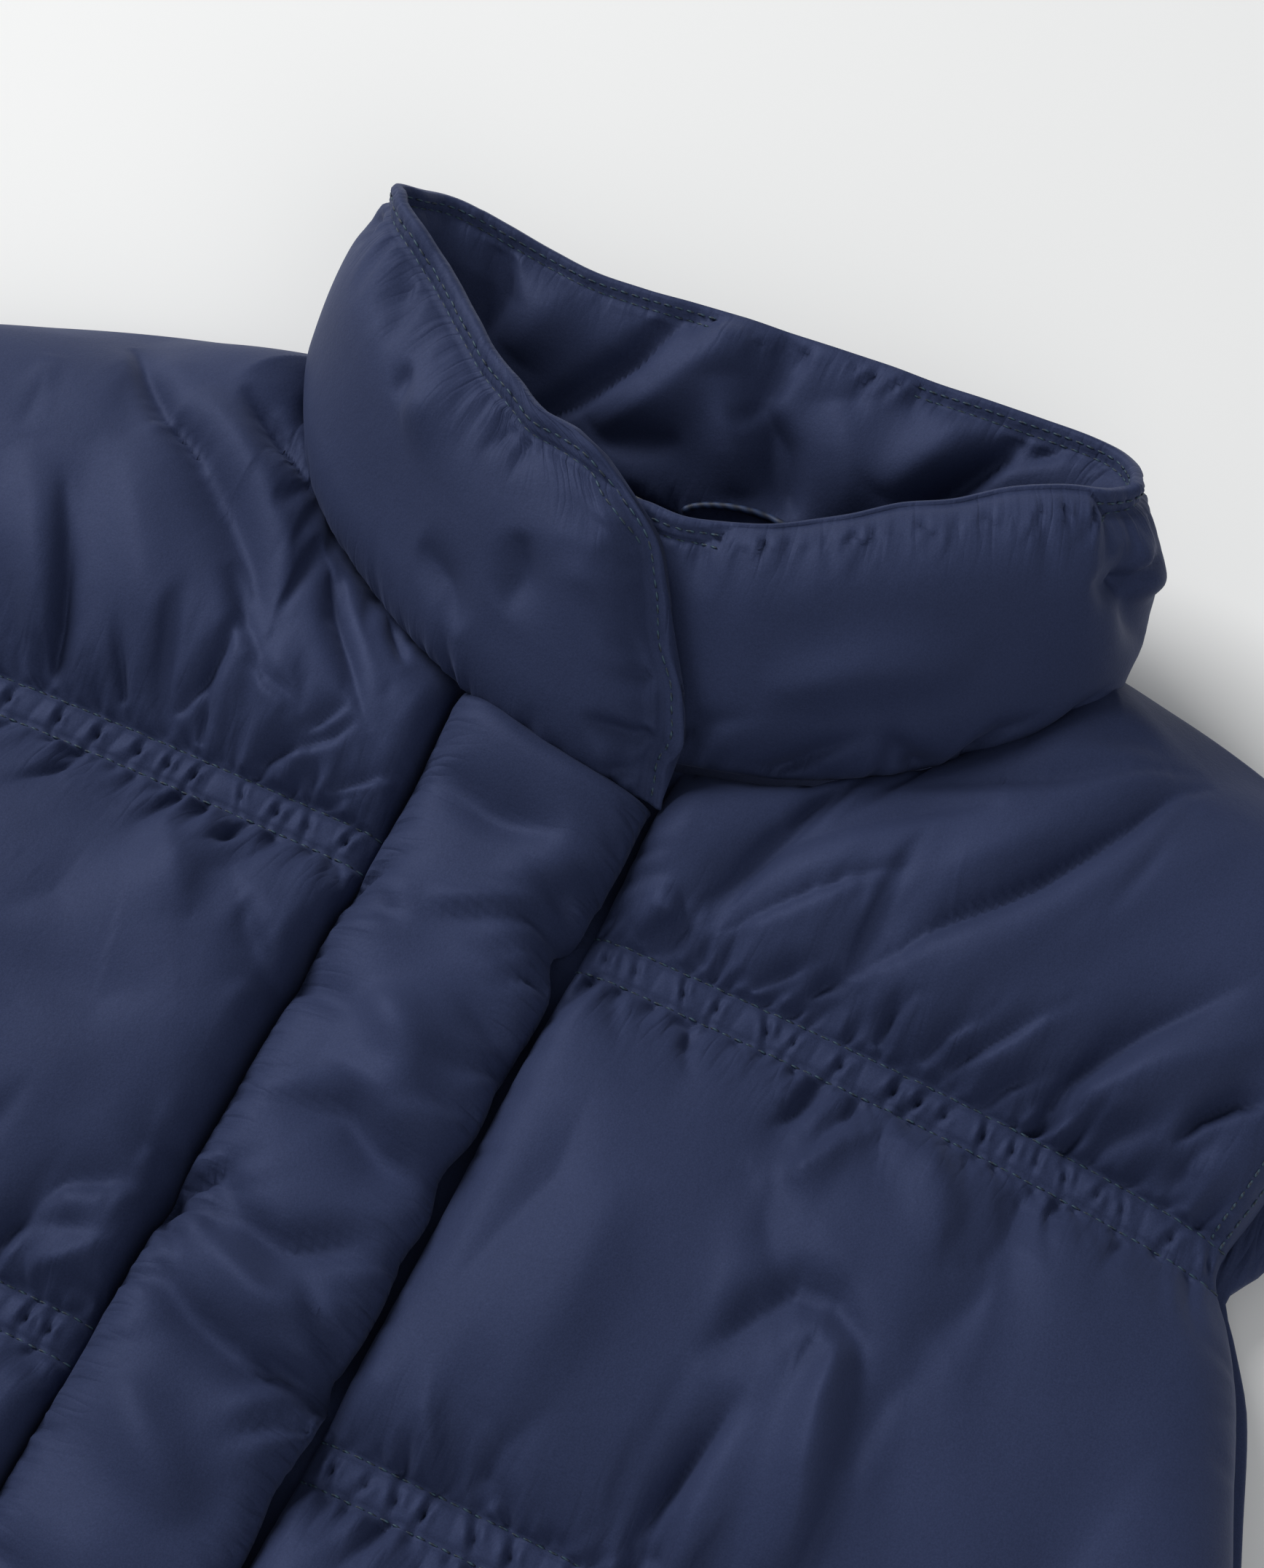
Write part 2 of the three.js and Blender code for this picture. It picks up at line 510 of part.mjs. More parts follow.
// One front: a puffed outer face over a plain inner one, closed round its edge.
function makeFront(name, cut) {
  const lines = frontLines(cut);
  const front = { ...cut, lines, ...outlineSamples(cut, lines) };
  const shell = new Shell();
  const fineCount = 2 * gathersPerChannel;
  const outerRows = [];
  const innerRows = [];
  const outerShares = [];
  const innerShares = [];
  const plan = frontRowPlan();
  plan.forEach(({ part, f, fine }, index) => {
    const rowOf = (count, face) => {
      const shares = frontShares(cut.restShare, count);
      return shell.row(shares.map((s) => {
        const heights = frontHeights(front, part, s, f);
        return new THREE.Vector3(heights.place.x, heights.place.y, heights[face]);
      }), shares);
    };
    outerRows.push(rowOf(fine ? fineCount : fineCount / 2, 'outer'));
    outerShares.push(index);
    if (index !== plan.length - 1 && index % 4 !== 0) return;
    innerRows.push(rowOf(index === 0 ? fineCount : fineCount / 4, 'inner'));
    innerShares.push(index);
  });
  for (let k = 1; k < outerRows.length; k += 1) shell.zip(outerRows[k - 1], outerRows[k]);
  for (let k = 1; k < innerRows.length; k += 1) shell.zip(innerRows[k], innerRows[k - 1]);
  shell.zip(innerRows[0], outerRows[0]);
  shell.zip(outerRows.at(-1), innerRows.at(-1));
  shell.zip(Shell.side(outerRows, 0, outerShares), Shell.side(innerRows, 0, innerShares));
  shell.zip(Shell.side(innerRows, -1, innerShares), Shell.side(outerRows, -1, outerShares));
  return shell.mesh(name, navy, cut.mirrored);
}

// The back: flat where it rests, plain inside, and thin at its sewn edges.
const backRows = [
  42, 40, 34, 20, -6, -32, -46, -58, -80, -112, -140, -166, -180, -194, -250, -300, -314, -328,
  -390, -438, -450, -454, -455,
];
const backShares = [0, 0.15, 0.28, 0.38, 0.44, 0.47, 0.6, 0.8, 0.93, 0.98, 1];

// Height of the back's top outline at a share of its half width, the wearer's left side above 0.
function backTop(side) {
  const share = Math.abs(side);
  const x = share * (shoulderTip.x + readTable(backShows, 'y', 'by', shoulderTip.y));
  const corner = besideNeck(backNeckPointAt, -(collarEdge + seamGap));
  if (x < corner.x) {
    let at = 0.5;
    while (besideNeck(at, 0).x < x && at > backNeckPointAt) at -= backTopEase.step;
    return Math.min(besideNeck(at, -(collarEdge + backTopEase.seam)).y, corner.y);
  }
  const t = Math.min((x - corner.x) / (shoulderTip.x - corner.x), 1);
  const bow = side > 0 ? shoulderTip.bowLeft : shoulderTip.bowRight;
  return THREE.MathUtils.lerp(corner.y, shoulderTip.y, t) + bow * Math.sin(Math.PI * t);
}

function makeBack() {
  const shell = new Shell();
  const shares = [...backShares.slice(1).reverse().map((s) => -s), ...backShares];
  const lowest = backRows.at(-1);
  const upper = [];
  const lower = [];
  for (const rowY of backRows) {
    const top = [];
    const under = [];
    const shows = readTable(backShows, 'y', 'by', rowY);
    const half = sideX(rowY) + shows;
    const fade = clampShare((rowY - backTopEase.fromY) / (shoulderTip.y - backTopEase.fromY));
    const hemShare = clampShare((channelYs[2] - rowY) / (channelYs[2] - hemY));
    for (const share of shares) {
      const raise = Math.max(backTop(share) - shoulderTip.y, 0);
      const y = rowY + raise * fade + hemRise * Math.abs(share) ** 3 * hemShare;
      const fromSide = (1 - Math.abs(share)) * half;
      const fromTop = shoulderTip.y + raise - y;
      const fromEdge = Math.min(fromSide, fromTop, rowY - lowest);
      const lift = (backWall.thickness - backWall.edge) * (1 - crown(fromEdge, backWall.underReach));
      const shown = shows / backWall.armholeReach;
      const drop = backWall.armholeDrop * shown * (1 - crown(fromSide, backWall.armholeReach));
      under.push(new THREE.Vector3(share * half, y, lift));
      top.push(new THREE.Vector3(share * half, y, backWall.thickness - drop));
    }
    upper.push(shell.row(top));
    lower.push(shell.row(under));
  }
  for (let k = 1; k < upper.length; k += 1) {
    shell.zip(upper[k - 1], upper[k]);
    shell.zip(lower[k], lower[k - 1]);
  }
  shell.zip(lower[0], upper[0]);
  shell.zip(upper.at(-1), lower.at(-1));
  const downwards = backRows.map((_, k) => k);
  shell.zip(Shell.side(upper, 0, downwards), Shell.side(lower, 0, downwards));
  shell.zip(Shell.side(lower, -1, downwards), Shell.side(upper, -1, downwards));
  return shell.mesh('back', navy);
}

// The placket: a padded strip sewn to the wearer's right front, lying on the edge of the left.
function makePlacket() {
  const length = placketTop[0].y - hemY;
  const lastStep = length - placketSteps.bottom[0];
  const stations = [...placketSteps.top];
  for (let d = placketSteps.from; d < lastStep; d += placketSteps.by) stations.push(d);
  stations.push(...placketSteps.bottom.map((left) => length - left));
  const seamZ = neckPoint(0).z;
  const { neckSamples } = outlineSamples(leftCut, frontLines(leftCut));
  const sections = stations.map((d) => placketSection.map((point) => {
    const baseY = placketTop[0].y - d;
    const pinch = placketPinches.reduce((sum, p) => {
      const off = (baseY - p.y) / pinchHalf;
      return sum + p.in * Math.exp(-off * off);
    }, 0);
    const width = placket.right - placket.left - pinch * point.across;
    const x = placket.left + point.across * width;
    const topY = readTable(placketTop, 'across', 'y', point.across);
    const y = baseY + (topY - placketTop[0].y) * Math.max(1 - d / placketEnd.slantOver, 0);
    const toNeck = distanceTo(neckSamples, new THREE.Vector3(x, y, 0));
    const lift = liftAtNeck(toNeck, seamZ);
    const under = frontWall.rest + frontWall.edge + placket.clearance + lift;
    const byTop = crown(d + placketEnd.start, placketEnd.reach);
    const ends = byTop * crown(length - d + placketEnd.start, reach.hem);
    const full = THREE.MathUtils.lerp(placket.endThickness, placket.thickness, ends);
    const folds = foldHeight(placketFolds, x, y) * ends * Math.min(point.up * 2, 1);
    return new THREE.Vector3(x, y, under + point.up * full + folds);
  }));
  return Shell.loft(sections.reverse()).mesh('placket', navy);
}

function collarTop(at) {
  return new THREE.Vector3(...['x', 'y', 'z'].map((key) => readTable(collarRows, 'at', key, at)));
}

// A point of the collar: at round the neck seam, up its height, out from its middle layer.
function collarFrame(at, up) {
  const foot = neckPoint(at);
  const top = collarTop(at);
  const [next, previous] = [at + collarTurn.step, at - collarTurn.step];
  const tangent = neckPoint(next).sub(neckPoint(previous));
  tangent.lerp(collarTop(next).sub(collarTop(previous)), up * collarTurn.followsTop);
  const rise = top.clone().sub(foot);
  const outwards = tangent.clone().cross(rise).normalize();
  foot.addScaledVector(outwards, readTable(collarRows, 'at', 'over', at));
  foot.y -= readTable(collarRows, 'at', 'drop', at);
  return { middle: foot.lerp(top, up), outwards };
}

// How far one face of the collar stands off its middle layer. The inner face is thin where it laps.
function collarOffset(at, up, face) {
  const isOuter = face > 0;
  const lap = Math.max(1 - readTable(collarRows, 'at', 'over', at) / collarFill.lapClears, 0);
  const puff = isOuter ? readTable(collarRows, 'at', 'puff', at) : collarFill.inner * lap;
  const isCrisp = isOuter && up > collarFill.upper;
  const fade = Math.sin(Math.PI * clampShare(up));
  const bulge = puff * fade ** (isCrisp ? collarFill.crispTop : collarFill.softFoot);
  const dents = collarDents.filter((dent) => dent.face === face).reduce((sum, dent) => {
    const off = Math.hypot((at - dent.at) / dent.round, (up - dent.up) / dent.tall);
    return sum + dent.depth * Math.exp(-off * off);
  }, 0);
  return collarEdge + Math.max(bulge - dents * fade, 0);
}

const collarOuterUps = [0, 0.05, 0.16, 0.32, 0.5, 0.68, 0.84, 0.95, 1];
const collarInnerUps = [1, 0.82, 0.55, 0.28, 0];

function makeCollar() {
  const [first, last] = [collarRows[0].at, collarRows.at(-1).at];
  const count = collarSections.even;
  const places = Array.from({ length: count + 1 }, (_, k) => first + ((last - first) * k) / count);
  for (const corner of collarSections.corners) {
    places.push(...collarSections.near.map((off) => corner + off));
  }
  places.push(...lapEnd.near.map((off) => last - off));
  places.sort((a, b) => a - b);
  const sections = places.map((place) => {
    const pointOf = (up, face) => {
      const near = THREE.MathUtils.smoothstep(place, last - lapEnd.over, last);
      const turn = crown(1 - up, 1 - lapEnd.cornerFrom);
      const cornerPull = up > lapEnd.cornerFrom ? lapEnd.corner * (1 - turn) : 0;
      const at = place - near * (lapEnd.slant * up + cornerPull);
      const { middle, outwards } = collarFrame(at, up);
      return middle.addScaledVector(outwards, face * collarOffset(at, up, face));
    };
    return [
      ...collarOuterUps.map((up) => pointOf(up, 1)),
      ...collarInnerUps.map((up) => pointOf(up, -1)),
    ];
  });
  return Shell.loft(sections).mesh('collar', navy);
}

// The hanger loop: a short cord sewn into the back neck seam, lying on the collar's inner face.
function makeHangerLoop() {
  const route = Array.from({ length: hanger.steps + 1 }, (_, k) => {
    const t = k / hanger.steps;
    const at = hanger.middle + (t - 0.5) * hanger.span;
    const up = hanger.foot + hanger.rise * Math.sin(Math.PI * t);
    const { middle, outwards } = collarFrame(at, up);
    const off = collarOffset(at, up, -1) + hanger.radius + hanger.gap;
    return middle.addScaledVector(outwards, -off);
  });
  const section = new THREE.Shape().absarc(0, 0, hanger.radius, 0, 2 * Math.PI, false);
  const geometry = new THREE.ExtrudeGeometry(section, {
    steps: 2 * hanger.steps,
    curveSegments: 4,
    bevelEnabled: false,
    extrudePath: new THREE.CatmullRomCurve3(route),
  });
  return namedMesh('hanger_loop', geometry, loopBlue);
}

const vest = new THREE.Group();
vest.add(
  makeBack(),
  makeFront('front_left', leftCut),
  makeFront('front_right', rightCut),
  makePlacket(),
  makeCollar(),
  makeHangerLoop(),
);

// The origin is the middle of the resting footprint.
const box = new THREE.Box3().setFromObject(vest);
const middle = box.getCenter(new THREE.Vector3());
vest.position.set(-middle.x, -middle.y, -box.min.z);

export default vest;
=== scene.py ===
import math

import bmesh
import bpy
import numpy as np
from mathutils import Matrix, Vector


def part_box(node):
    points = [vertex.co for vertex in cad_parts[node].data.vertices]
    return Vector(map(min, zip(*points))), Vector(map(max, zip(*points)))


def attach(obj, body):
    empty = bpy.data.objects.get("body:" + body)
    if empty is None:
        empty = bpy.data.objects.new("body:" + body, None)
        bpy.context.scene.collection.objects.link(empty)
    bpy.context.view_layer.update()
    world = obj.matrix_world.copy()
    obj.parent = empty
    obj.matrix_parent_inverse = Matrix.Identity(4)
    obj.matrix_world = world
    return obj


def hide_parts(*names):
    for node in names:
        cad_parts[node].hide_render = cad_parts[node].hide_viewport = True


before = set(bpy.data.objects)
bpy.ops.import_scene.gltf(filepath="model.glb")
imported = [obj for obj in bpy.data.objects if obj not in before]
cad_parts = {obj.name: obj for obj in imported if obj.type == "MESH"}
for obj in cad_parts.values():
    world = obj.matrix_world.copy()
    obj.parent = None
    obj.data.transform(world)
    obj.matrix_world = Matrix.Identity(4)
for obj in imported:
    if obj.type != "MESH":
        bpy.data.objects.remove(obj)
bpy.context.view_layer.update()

for spareName in ("Cube", "Light", "Camera"):
    if spareName in bpy.data.objects:
        bpy.data.objects.remove(bpy.data.objects[spareName], do_unlink=True)

# Shapes are worked out in mm, with Y counted from the front neck seam and Z from the table.
# A mesh is turned to metres in the row's frame when it is made.
hemY = -455.0
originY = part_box("back")[0].y * 1000 - hemY


def say(stage):
    print("stage:", stage)


def table(names, rows):
    return dict(zip(names.split(), np.array(rows, float).T))


# A smooth curve through two columns of a table, read at some places.
def readTable(rows, by, column, at):
    x, y = rows[by], rows[column]
    steep = np.gradient(y, x)
    steep[1:-1] = (y[2:] - y[:-2]) / (x[2:] - x[:-2])
    at = np.clip(at, x[0], x[-1])
    i = np.clip(np.searchsorted(x, at, side="right") - 1, 0, len(x) - 2)
    span = x[i + 1] - x[i]
    t = (at - x[i]) / span
    rise = t * t * (3 - 2 * t)
    leave = t * (1 - t) ** 2 * span * steep[i]
    arrive = t * t * (t - 1) * span * steep[i + 1]
    return y[i] * (1 - rise) + y[i + 1] * rise + leave + arrive


def smooth(t):
    t = np.clip(t, 0, 1)
    return t * t * (3 - 2 * t)


def within(distance, reach):
    return np.clip(distance / reach, 0, 1)


# Two ways to rise from an edge to full height over a reach: a round one and a softer one.
def crown(distance, reach):
    left = 1 - within(distance, reach)
    return np.sqrt(1 - left * left)


def slope(distance, reach):
    return np.sin(math.pi / 2 * within(distance, reach))


# Rise of a padded panel from a stitch row: steep at first, then ever softer.
rowRise = dict(early=0.55, late=1.25, earlyShare=0.45, lateShare=0.55)


def seamRise(distance):
    early = slope(distance, reach["channel"] * rowRise["early"])
    late = slope(distance, reach["channel"] * rowRise["late"])
    return rowRise["earlyShare"] * early + rowRise["lateShare"] * late


# The garment's sizes, as in the part.
channels = dict(ys=[-46.0, -180.0, -314.0], width=9.6, droop=8.0, pull=6.0, pullOver=12.0)
wall = dict(back=14.0, rest=14.15, edge=3.6, puff=19.0)
neckRise = dict(reach=32.0, sewnDepth=3.6, ease=1.1, collarEdge=1.7, gap=0.3)
shoulderTip = dict(x=212.0, y=42.0)
neckPointAt = 0.287
hemRise = 7.0
reach = dict(channel=25.0, side=16.0, armhole=12.0, top=25.0, hem=12.0)

sideEdge = table("y x", [
    [-455, 231], [-300, 230], [-152, 228], [-128, 220], [-103, 211], [-80, 203], [-66, 196],
    [-54, 189], [-36, 192], [0, 200], [42, 212],
])
backShows = table("y by", [
    [-160, 0], [-120, 3], [-80, 4], [-58, 3], [-46, 9], [-20, 9], [20, 6], [42, 1],
])
neckSeam = table("x y z", [
    [0, 1, 26], [28, 8, 26], [54, 17, 25], [76, 32, 24], [92, 54, 21], [99, 74, 18.5],
    [93, 87, 17], [64, 83, 15.5], [32, 79, 15], [0, 77, 15],
])


# A closed curve through the points, whose speed follows the distance between them.
def closedCurve(points, perSpan=60):
    count = len(points)
    samples = []
    for k in range(count):
        p0, p1, p2, p3 = (points[(k + off) % count] for off in (-1, 0, 1, 2))
        d0, d1, d2 = (math.sqrt(np.linalg.norm(b - a)) for a, b in ((p0, p1), (p1, p2), (p2, p3)))
        m1 = ((p1 - p0) / d0 - (p2 - p0) / (d0 + d1) + (p2 - p1) / d1) * d1
        m2 = ((p2 - p1) / d1 - (p3 - p1) / (d1 + d2) + (p3 - p2) / d2) * d1
        for t in np.arange(perSpan) / perSpan:
            a, b = 2 * p1 - 2 * p2 + m1 + m2, -3 * p1 + 3 * p2 - 2 * m1 - m2
            samples.append(((a * t + b) * t + m1) * t + p1)
    samples.append(samples[0])
    return np.array(samples)


# Places round the neck are shares of its length: 0 in the middle of the front, 0.5 of the back.
leftHalf = np.stack([neckSeam["x"], neckSeam["y"], neckSeam["z"]], 1)
rightHalf = leftHalf[-2:0:-1] * [-1, 1, 1]
neckPoints = closedCurve(np.concatenate([leftHalf, rightHalf]))
neckRun = np.concatenate([[0], np.cumsum(np.linalg.norm(np.diff(neckPoints, axis=0), axis=1))])
neckLength = neckRun[-1]


def neckPoint(at):
    where = (np.asarray(at, float) % 1.0) * neckLength
    return np.stack([np.interp(where, neckRun, neckPoints[:, k]) for k in range(3)], -1)


def besideNeck(at, distance):
    ahead = neckPoint(np.asarray(at) + 0.002) - neckPoint(np.asarray(at) - 0.002)
    out = np.stack([ahead[..., 1], -ahead[..., 0], np.zeros_like(ahead[..., 0])], -1)
    out /= np.linalg.norm(out, axis=-1, keepdims=True)
    return neckPoint(at) + out * distance


def neckAtX(x):
    at = np.linspace(-0.12, 0.25, 800)
    return np.interp(x, neckPoint(at)[:, 0], at)


def sideX(y):
    base = readTable(sideEdge, "y", "x", y)
    for middle in channels["ys"][1:]:
        base = base - channels["pull"] * np.exp(-((y - middle) / channels["pullOver"]) ** 2)
    return base


# Irregular gathers: round ridges with narrow creases between them, whose steps lie between two
# spacings. Each ridge has its own chance from 0 to 1, and all are the same on each run.
ripples = dict(steps=200, before=60)


def gatherRipple(seed, spacing, x, flat=0.75):
    rng = np.random.default_rng(seed)
    stops = np.cumsum(rng.uniform(*spacing, ripples["steps"])) - ripples["before"]
    turn = np.interp(x, stops, np.arange(len(stops)))
    chance = rng.uniform(0, 1, len(stops))[turn.astype(int)]
    return np.abs(np.sin(math.pi * turn)) ** flat, chance


# Soft lumps of one size, from -1 to 1, between the corners of a square grid.
lumpGrid = dict(cells=63, middleX=31, middleY=47)


def lumps(seed, x, y, size):
    cells = lumpGrid["cells"]
    values = np.random.default_rng(seed).uniform(-1, 1, (cells + 1, cells + 1))
    u, v = x / size + lumpGrid["middleX"], y / size + lumpGrid["middleY"]
    i, j = np.floor(u).astype(int), np.floor(v).astype(int)
    a, b = smooth(u - i), smooth(v - j)
    i, j = i % cells, j % cells
    low = values[i, j] * (1 - a) + values[i + 1, j] * a
    high = values[i, j + 1] * (1 - a) + values[i + 1, j + 1] * a
    return low * (1 - b) + high * b


def runAlong(line):
    return np.concatenate([[0], np.cumsum(np.hypot(*np.diff(line, axis=0).T))])


# Puckers that start along a sewn line, each with its own place, angle, length and depth. The angle
# is counted from the line's normal, in degrees; spacing is in mm, and most are short.
puckerPlan = dict(
    shortest=4.5, rare=2.6, turn=24, least=0.35, short=0.55, byLength=0.45, half=0.85,
    halfByLength=0.045, halfMore=0.5, bend=0.3,
)


def rowPuckers(seed, line, normal, spacing, longest, lean, deep):
    plan = puckerPlan
    rng = np.random.default_rng(seed)
    line = np.asarray(line, float)
    run = runAlong(line)
    rows, at = [], rng.uniform(0, spacing[1])
    while at < run[-1]:
        x, y = np.interp(at, run, line[:, 0]), np.interp(at, run, line[:, 1])
        length = plan["shortest"] + (longest - plan["shortest"]) * rng.uniform(0, 1) ** plan["rare"]
        towards = lean(x) if callable(lean) else lean
        angle = math.radians(towards + rng.uniform(-plan["turn"], plan["turn"]))
        dx = normal[0] * math.cos(angle) - normal[1] * math.sin(angle)
        dy = normal[0] * math.sin(angle) + normal[1] * math.cos(angle)
        height = deep * rng.uniform(plan["least"], 1.0)
        height = height * (plan["short"] + plan["byLength"] * length / longest)
        half = plan["half"] + plan["halfByLength"] * length + rng.uniform(0, plan["halfMore"])
        rows.append([x, y, dx, dy, length, half, height, rng.uniform(-plan["bend"], plan["bend"])])
        at += rng.uniform(*spacing)
    return rows


# Creases that cross a channel aslant and run out into the panels on both sides of it.
crossPlan = dict(turn=24, least=0.45, half=(0.75, 1.15), past=2, rare=3, bend=0.25, often=1.5)


def crossing(seed, line, spacing, across, longest, deep):
    plan = crossPlan
    rng = np.random.default_rng(seed)
    run = runAlong(line)
    rows, at = [], rng.uniform(1, spacing[1])
    while at < run[-1]:
        x, y = np.interp(at, run, line[:, 0]), np.interp(at, run, line[:, 1])
        slant = math.radians(rng.uniform(-plan["turn"], plan["turn"]))
        height, half = deep * rng.uniform(plan["least"], 1.0), rng.uniform(*plan["half"])
        for side in (1, -1):
            more = (longest - plan["past"]) * rng.uniform(0, 1) ** plan["rare"]
            length = across + plan["past"] + more
            dx, dy = side * math.sin(slant), side * math.cos(slant)
            bend = rng.uniform(-plan["bend"], plan["bend"])
            rows.append([x, y, dx, dy, length, half, height, bend])
        at += spacing[0] + (spacing[1] - spacing[0]) * rng.uniform(0, 1) ** plan["often"]
    return rows


# A pucker is a crease that widens and fades along its length, with a low ridge on both sides.
puckerShape = dict(
    beyond=4, width=0.8, widen=0.6, fade=1.1, start=1.5, crease=1.5, ridge=0.45, ridgeAt=2.1,
    ridgeWidth=1.1,
)


def puckerHeight(rows, x, y):
    form = puckerShape
    total = np.zeros_like(x)
    for x0, y0, dx, dy, length, half, height, bend in rows:
        far = length + form["beyond"] * half
        near = (np.abs(x - x0) < far) & (np.abs(y - y0) < far)
        px, py = x[near] - x0, y[near] - y0
        u = px * dx + py * dy
        share = np.clip(u / length, 0, 1)
        v = py * dx - px * dy - bend * length * share * share
        width = half * (form["width"] + form["widen"] * share)
        fade = (1 - share) ** form["fade"] * smooth((u + form["start"]) / form["start"])
        crease = np.exp(-np.abs(v / width) ** form["crease"])
        offRidge = (np.abs(v) / width - form["ridgeAt"]) / form["ridgeWidth"]
        total[near] += height * fade * (form["ridge"] * np.exp(-offRidge ** 2) - crease)
    return total


# Height that listed folds add. Each runs along its points, is as wide as half to each side,
# leans when one side is steeper, and fades to both ends, or from its first end only.
foldShape = dict(
    beyond=4, hold=1.15, ends=0.8, endWidth=0.6, fullWidth=0.4, narrowest=1.7, crease=1.55, ridge=1.8,
)


def foldHeight(folds, x, y):
    form = foldShape
    total = np.zeros_like(x)
    for height, half, lean, fromFirst, *flat in folds:
        stops = np.array(flat, float).reshape(-1, 2)
        runs = runAlong(stops)
        far = form["beyond"] * half
        near = (x > stops[:, 0].min() - far) & (x < stops[:, 0].max() + far)
        near &= (y > stops[:, 1].min() - far) & (y < stops[:, 1].max() + far)
        px, py = x[near], y[near]
        best = np.full(px.shape, 1e9)
        run = np.zeros(px.shape)
        for k in range(len(stops) - 1):
            (x1, y1), (dx, dy) = stops[k], stops[k + 1] - stops[k]
            t = np.clip(((px - x1) * dx + (py - y1) * dy) / (dx * dx + dy * dy), 0, 1)
            ox, oy = px - x1 - t * dx, py - y1 - t * dy
            off = np.hypot(ox, oy)
            closer = off < np.abs(best)
            side = np.sign(dx * oy - dy * ox)
            best = np.where(closer, off * np.where(side == 0, 1, side), best)
            run = np.where(closer, runs[k] + t * (runs[k + 1] - runs[k]), run)
        share = run / runs[-1]
        if fromFirst:
            fade = smooth(form["hold"] - form["hold"] * share)
        else:
            fade = np.sin(math.pi * share) ** form["ends"]
        width = half * (1 + lean * np.sign(best)) * (form["endWidth"] + form["fullWidth"] * fade)
        width = np.maximum(width, form["narrowest"])
        power = form["crease"] if height < 0 else form["ridge"]
        total[near] += height * fade * np.exp(-np.abs(best / width) ** power)
    return total


# Meshes
def toFrame(points):
    return (np.asarray(points, float) + [0, originY, 0]) / 1000


def newObject(name, points, faces):
    mesh = bpy.data.meshes.new(name)
    mesh.from_pydata(toFrame(points).tolist(), [], [tuple(int(i) for i in face) for face in faces])
    mesh.update()
    mesh.polygons.foreach_set("use_smooth", [True] * len(mesh.polygons))
    piece = bpy.data.objects.new(name, mesh)
    bpy.context.scene.collection.objects.link(piece)
    return piece


def gridFaces(rows, cols, flip=False, closeRound=False):
    r, c = np.meshgrid(np.arange(rows - 1), np.arange(cols if closeRound else cols - 1), indexing="ij")
    a = r * cols + c
    b = (r + 1) * cols + c
    d = r * cols + (c + 1) % cols
    e = (r + 1) * cols + (c + 1) % cols
    quads = np.stack([a, b, e, d], -1).reshape(-1, 4)
    return quads[:, ::-1] if flip else quads


# A closed skin of rings, with a cap at each end.
def tubeFaces(rows, cols):
    faces = gridFaces(rows, cols, closeRound=True).tolist()
    return faces + [list(range(cols)), [(rows - 1) * cols + k for k in range(cols)][::-1]]


def rimLoop(rows, cols):
    loop = [(0, c) for c in range(cols)] + [(r, cols - 1) for r in range(1, rows)]
    loop += [(rows - 1, c) for c in range(cols - 2, -1, -1)]
    return loop + [(r, 0) for r in range(rows - 2, 0, -1)]


# A wall with a fine outer face, a plain inner one in larger facets, and a rim between them.
def wallFaces(rows, cols, flip, step):
    count = rows * cols
    inner = {}

    def innerIndex(r, c):
        return inner.setdefault((r, c), count + len(inner))

    loop = rimLoop(rows, cols)
    faces = [list(quad) for quad in gridFaces(rows, cols)]
    for k, (r, c) in enumerate(loop):
        r2, c2 = loop[(k + 1) % len(loop)]
        faces.append([r * cols + c, r2 * cols + c2, innerIndex(r2, c2), innerIndex(r, c)])
    rowStops = sorted(set(list(range(0, rows, step)) + [rows - 1]))
    colStops = sorted(set(list(range(0, cols, step)) + [cols - 1]))
    for r0, r1 in zip(rowStops, rowStops[1:]):
        for c0, c1 in zip(colStops, colStops[1:]):
            top = range(c0, c1 + 1) if r0 == 0 else (c0, c1)
            bottom = range(c0, c1 + 1) if r1 == rows - 1 else (c0, c1)
            right = range(r0, r1 + 1) if c1 == cols - 1 else (r0, r1)
            left = range(r0, r1 + 1) if c0 == 0 else (r0, r1)
            ring = [(r0, c) for c in top] + [(r, c1) for r in list(right)[1:]]
            ring += [(r1, c) for c in list(bottom)[-2::-1]] + [(r, c0) for r in list(left)[-2:0:-1]]
            faces.append([innerIndex(r, c) for r, c in ring])
    if flip:
        faces = [face[::-1] for face in faces]
    return faces, list(inner)


# Cloth. Every second row and column of a grid, with the sewn rows, is gathered and puffed by
# simulation at ten times its size, which suits the solver. The rest shape zigzags from column to
# column, so the cloth has width to spare. The moves are then spread over the whole grid.
simScale = 0.01


def keptStops(count, sewn):
    return np.array(sorted(set(range(0, count, 2)) | set(int(k) for k in sewn) | {count - 1}))


def fillBetween(moved, stops, count, axis):
    return np.apply_along_axis(lambda line: np.interp(np.arange(count), stops, line), axis, moved)


def settleMoves(name, grid, pinned, spare, look, sewnRows):
    rows = keptStops(grid.shape[0], sewnRows)
    cols = keptStops(grid.shape[1], [])
    pick = np.ix_(rows, cols)
    moved = settle(name, grid[pick], pinned[pick], spare[pick], look) - grid[pick]
    full = fillBetween(fillBetween(moved, rows, grid.shape[0], 0), cols, grid.shape[1], 1)
    for axis in (0, 1):
        full = (np.roll(full, 1, axis) + 2 * full + np.roll(full, -1, axis)) / 4
    return full * ~pinned[..., None]


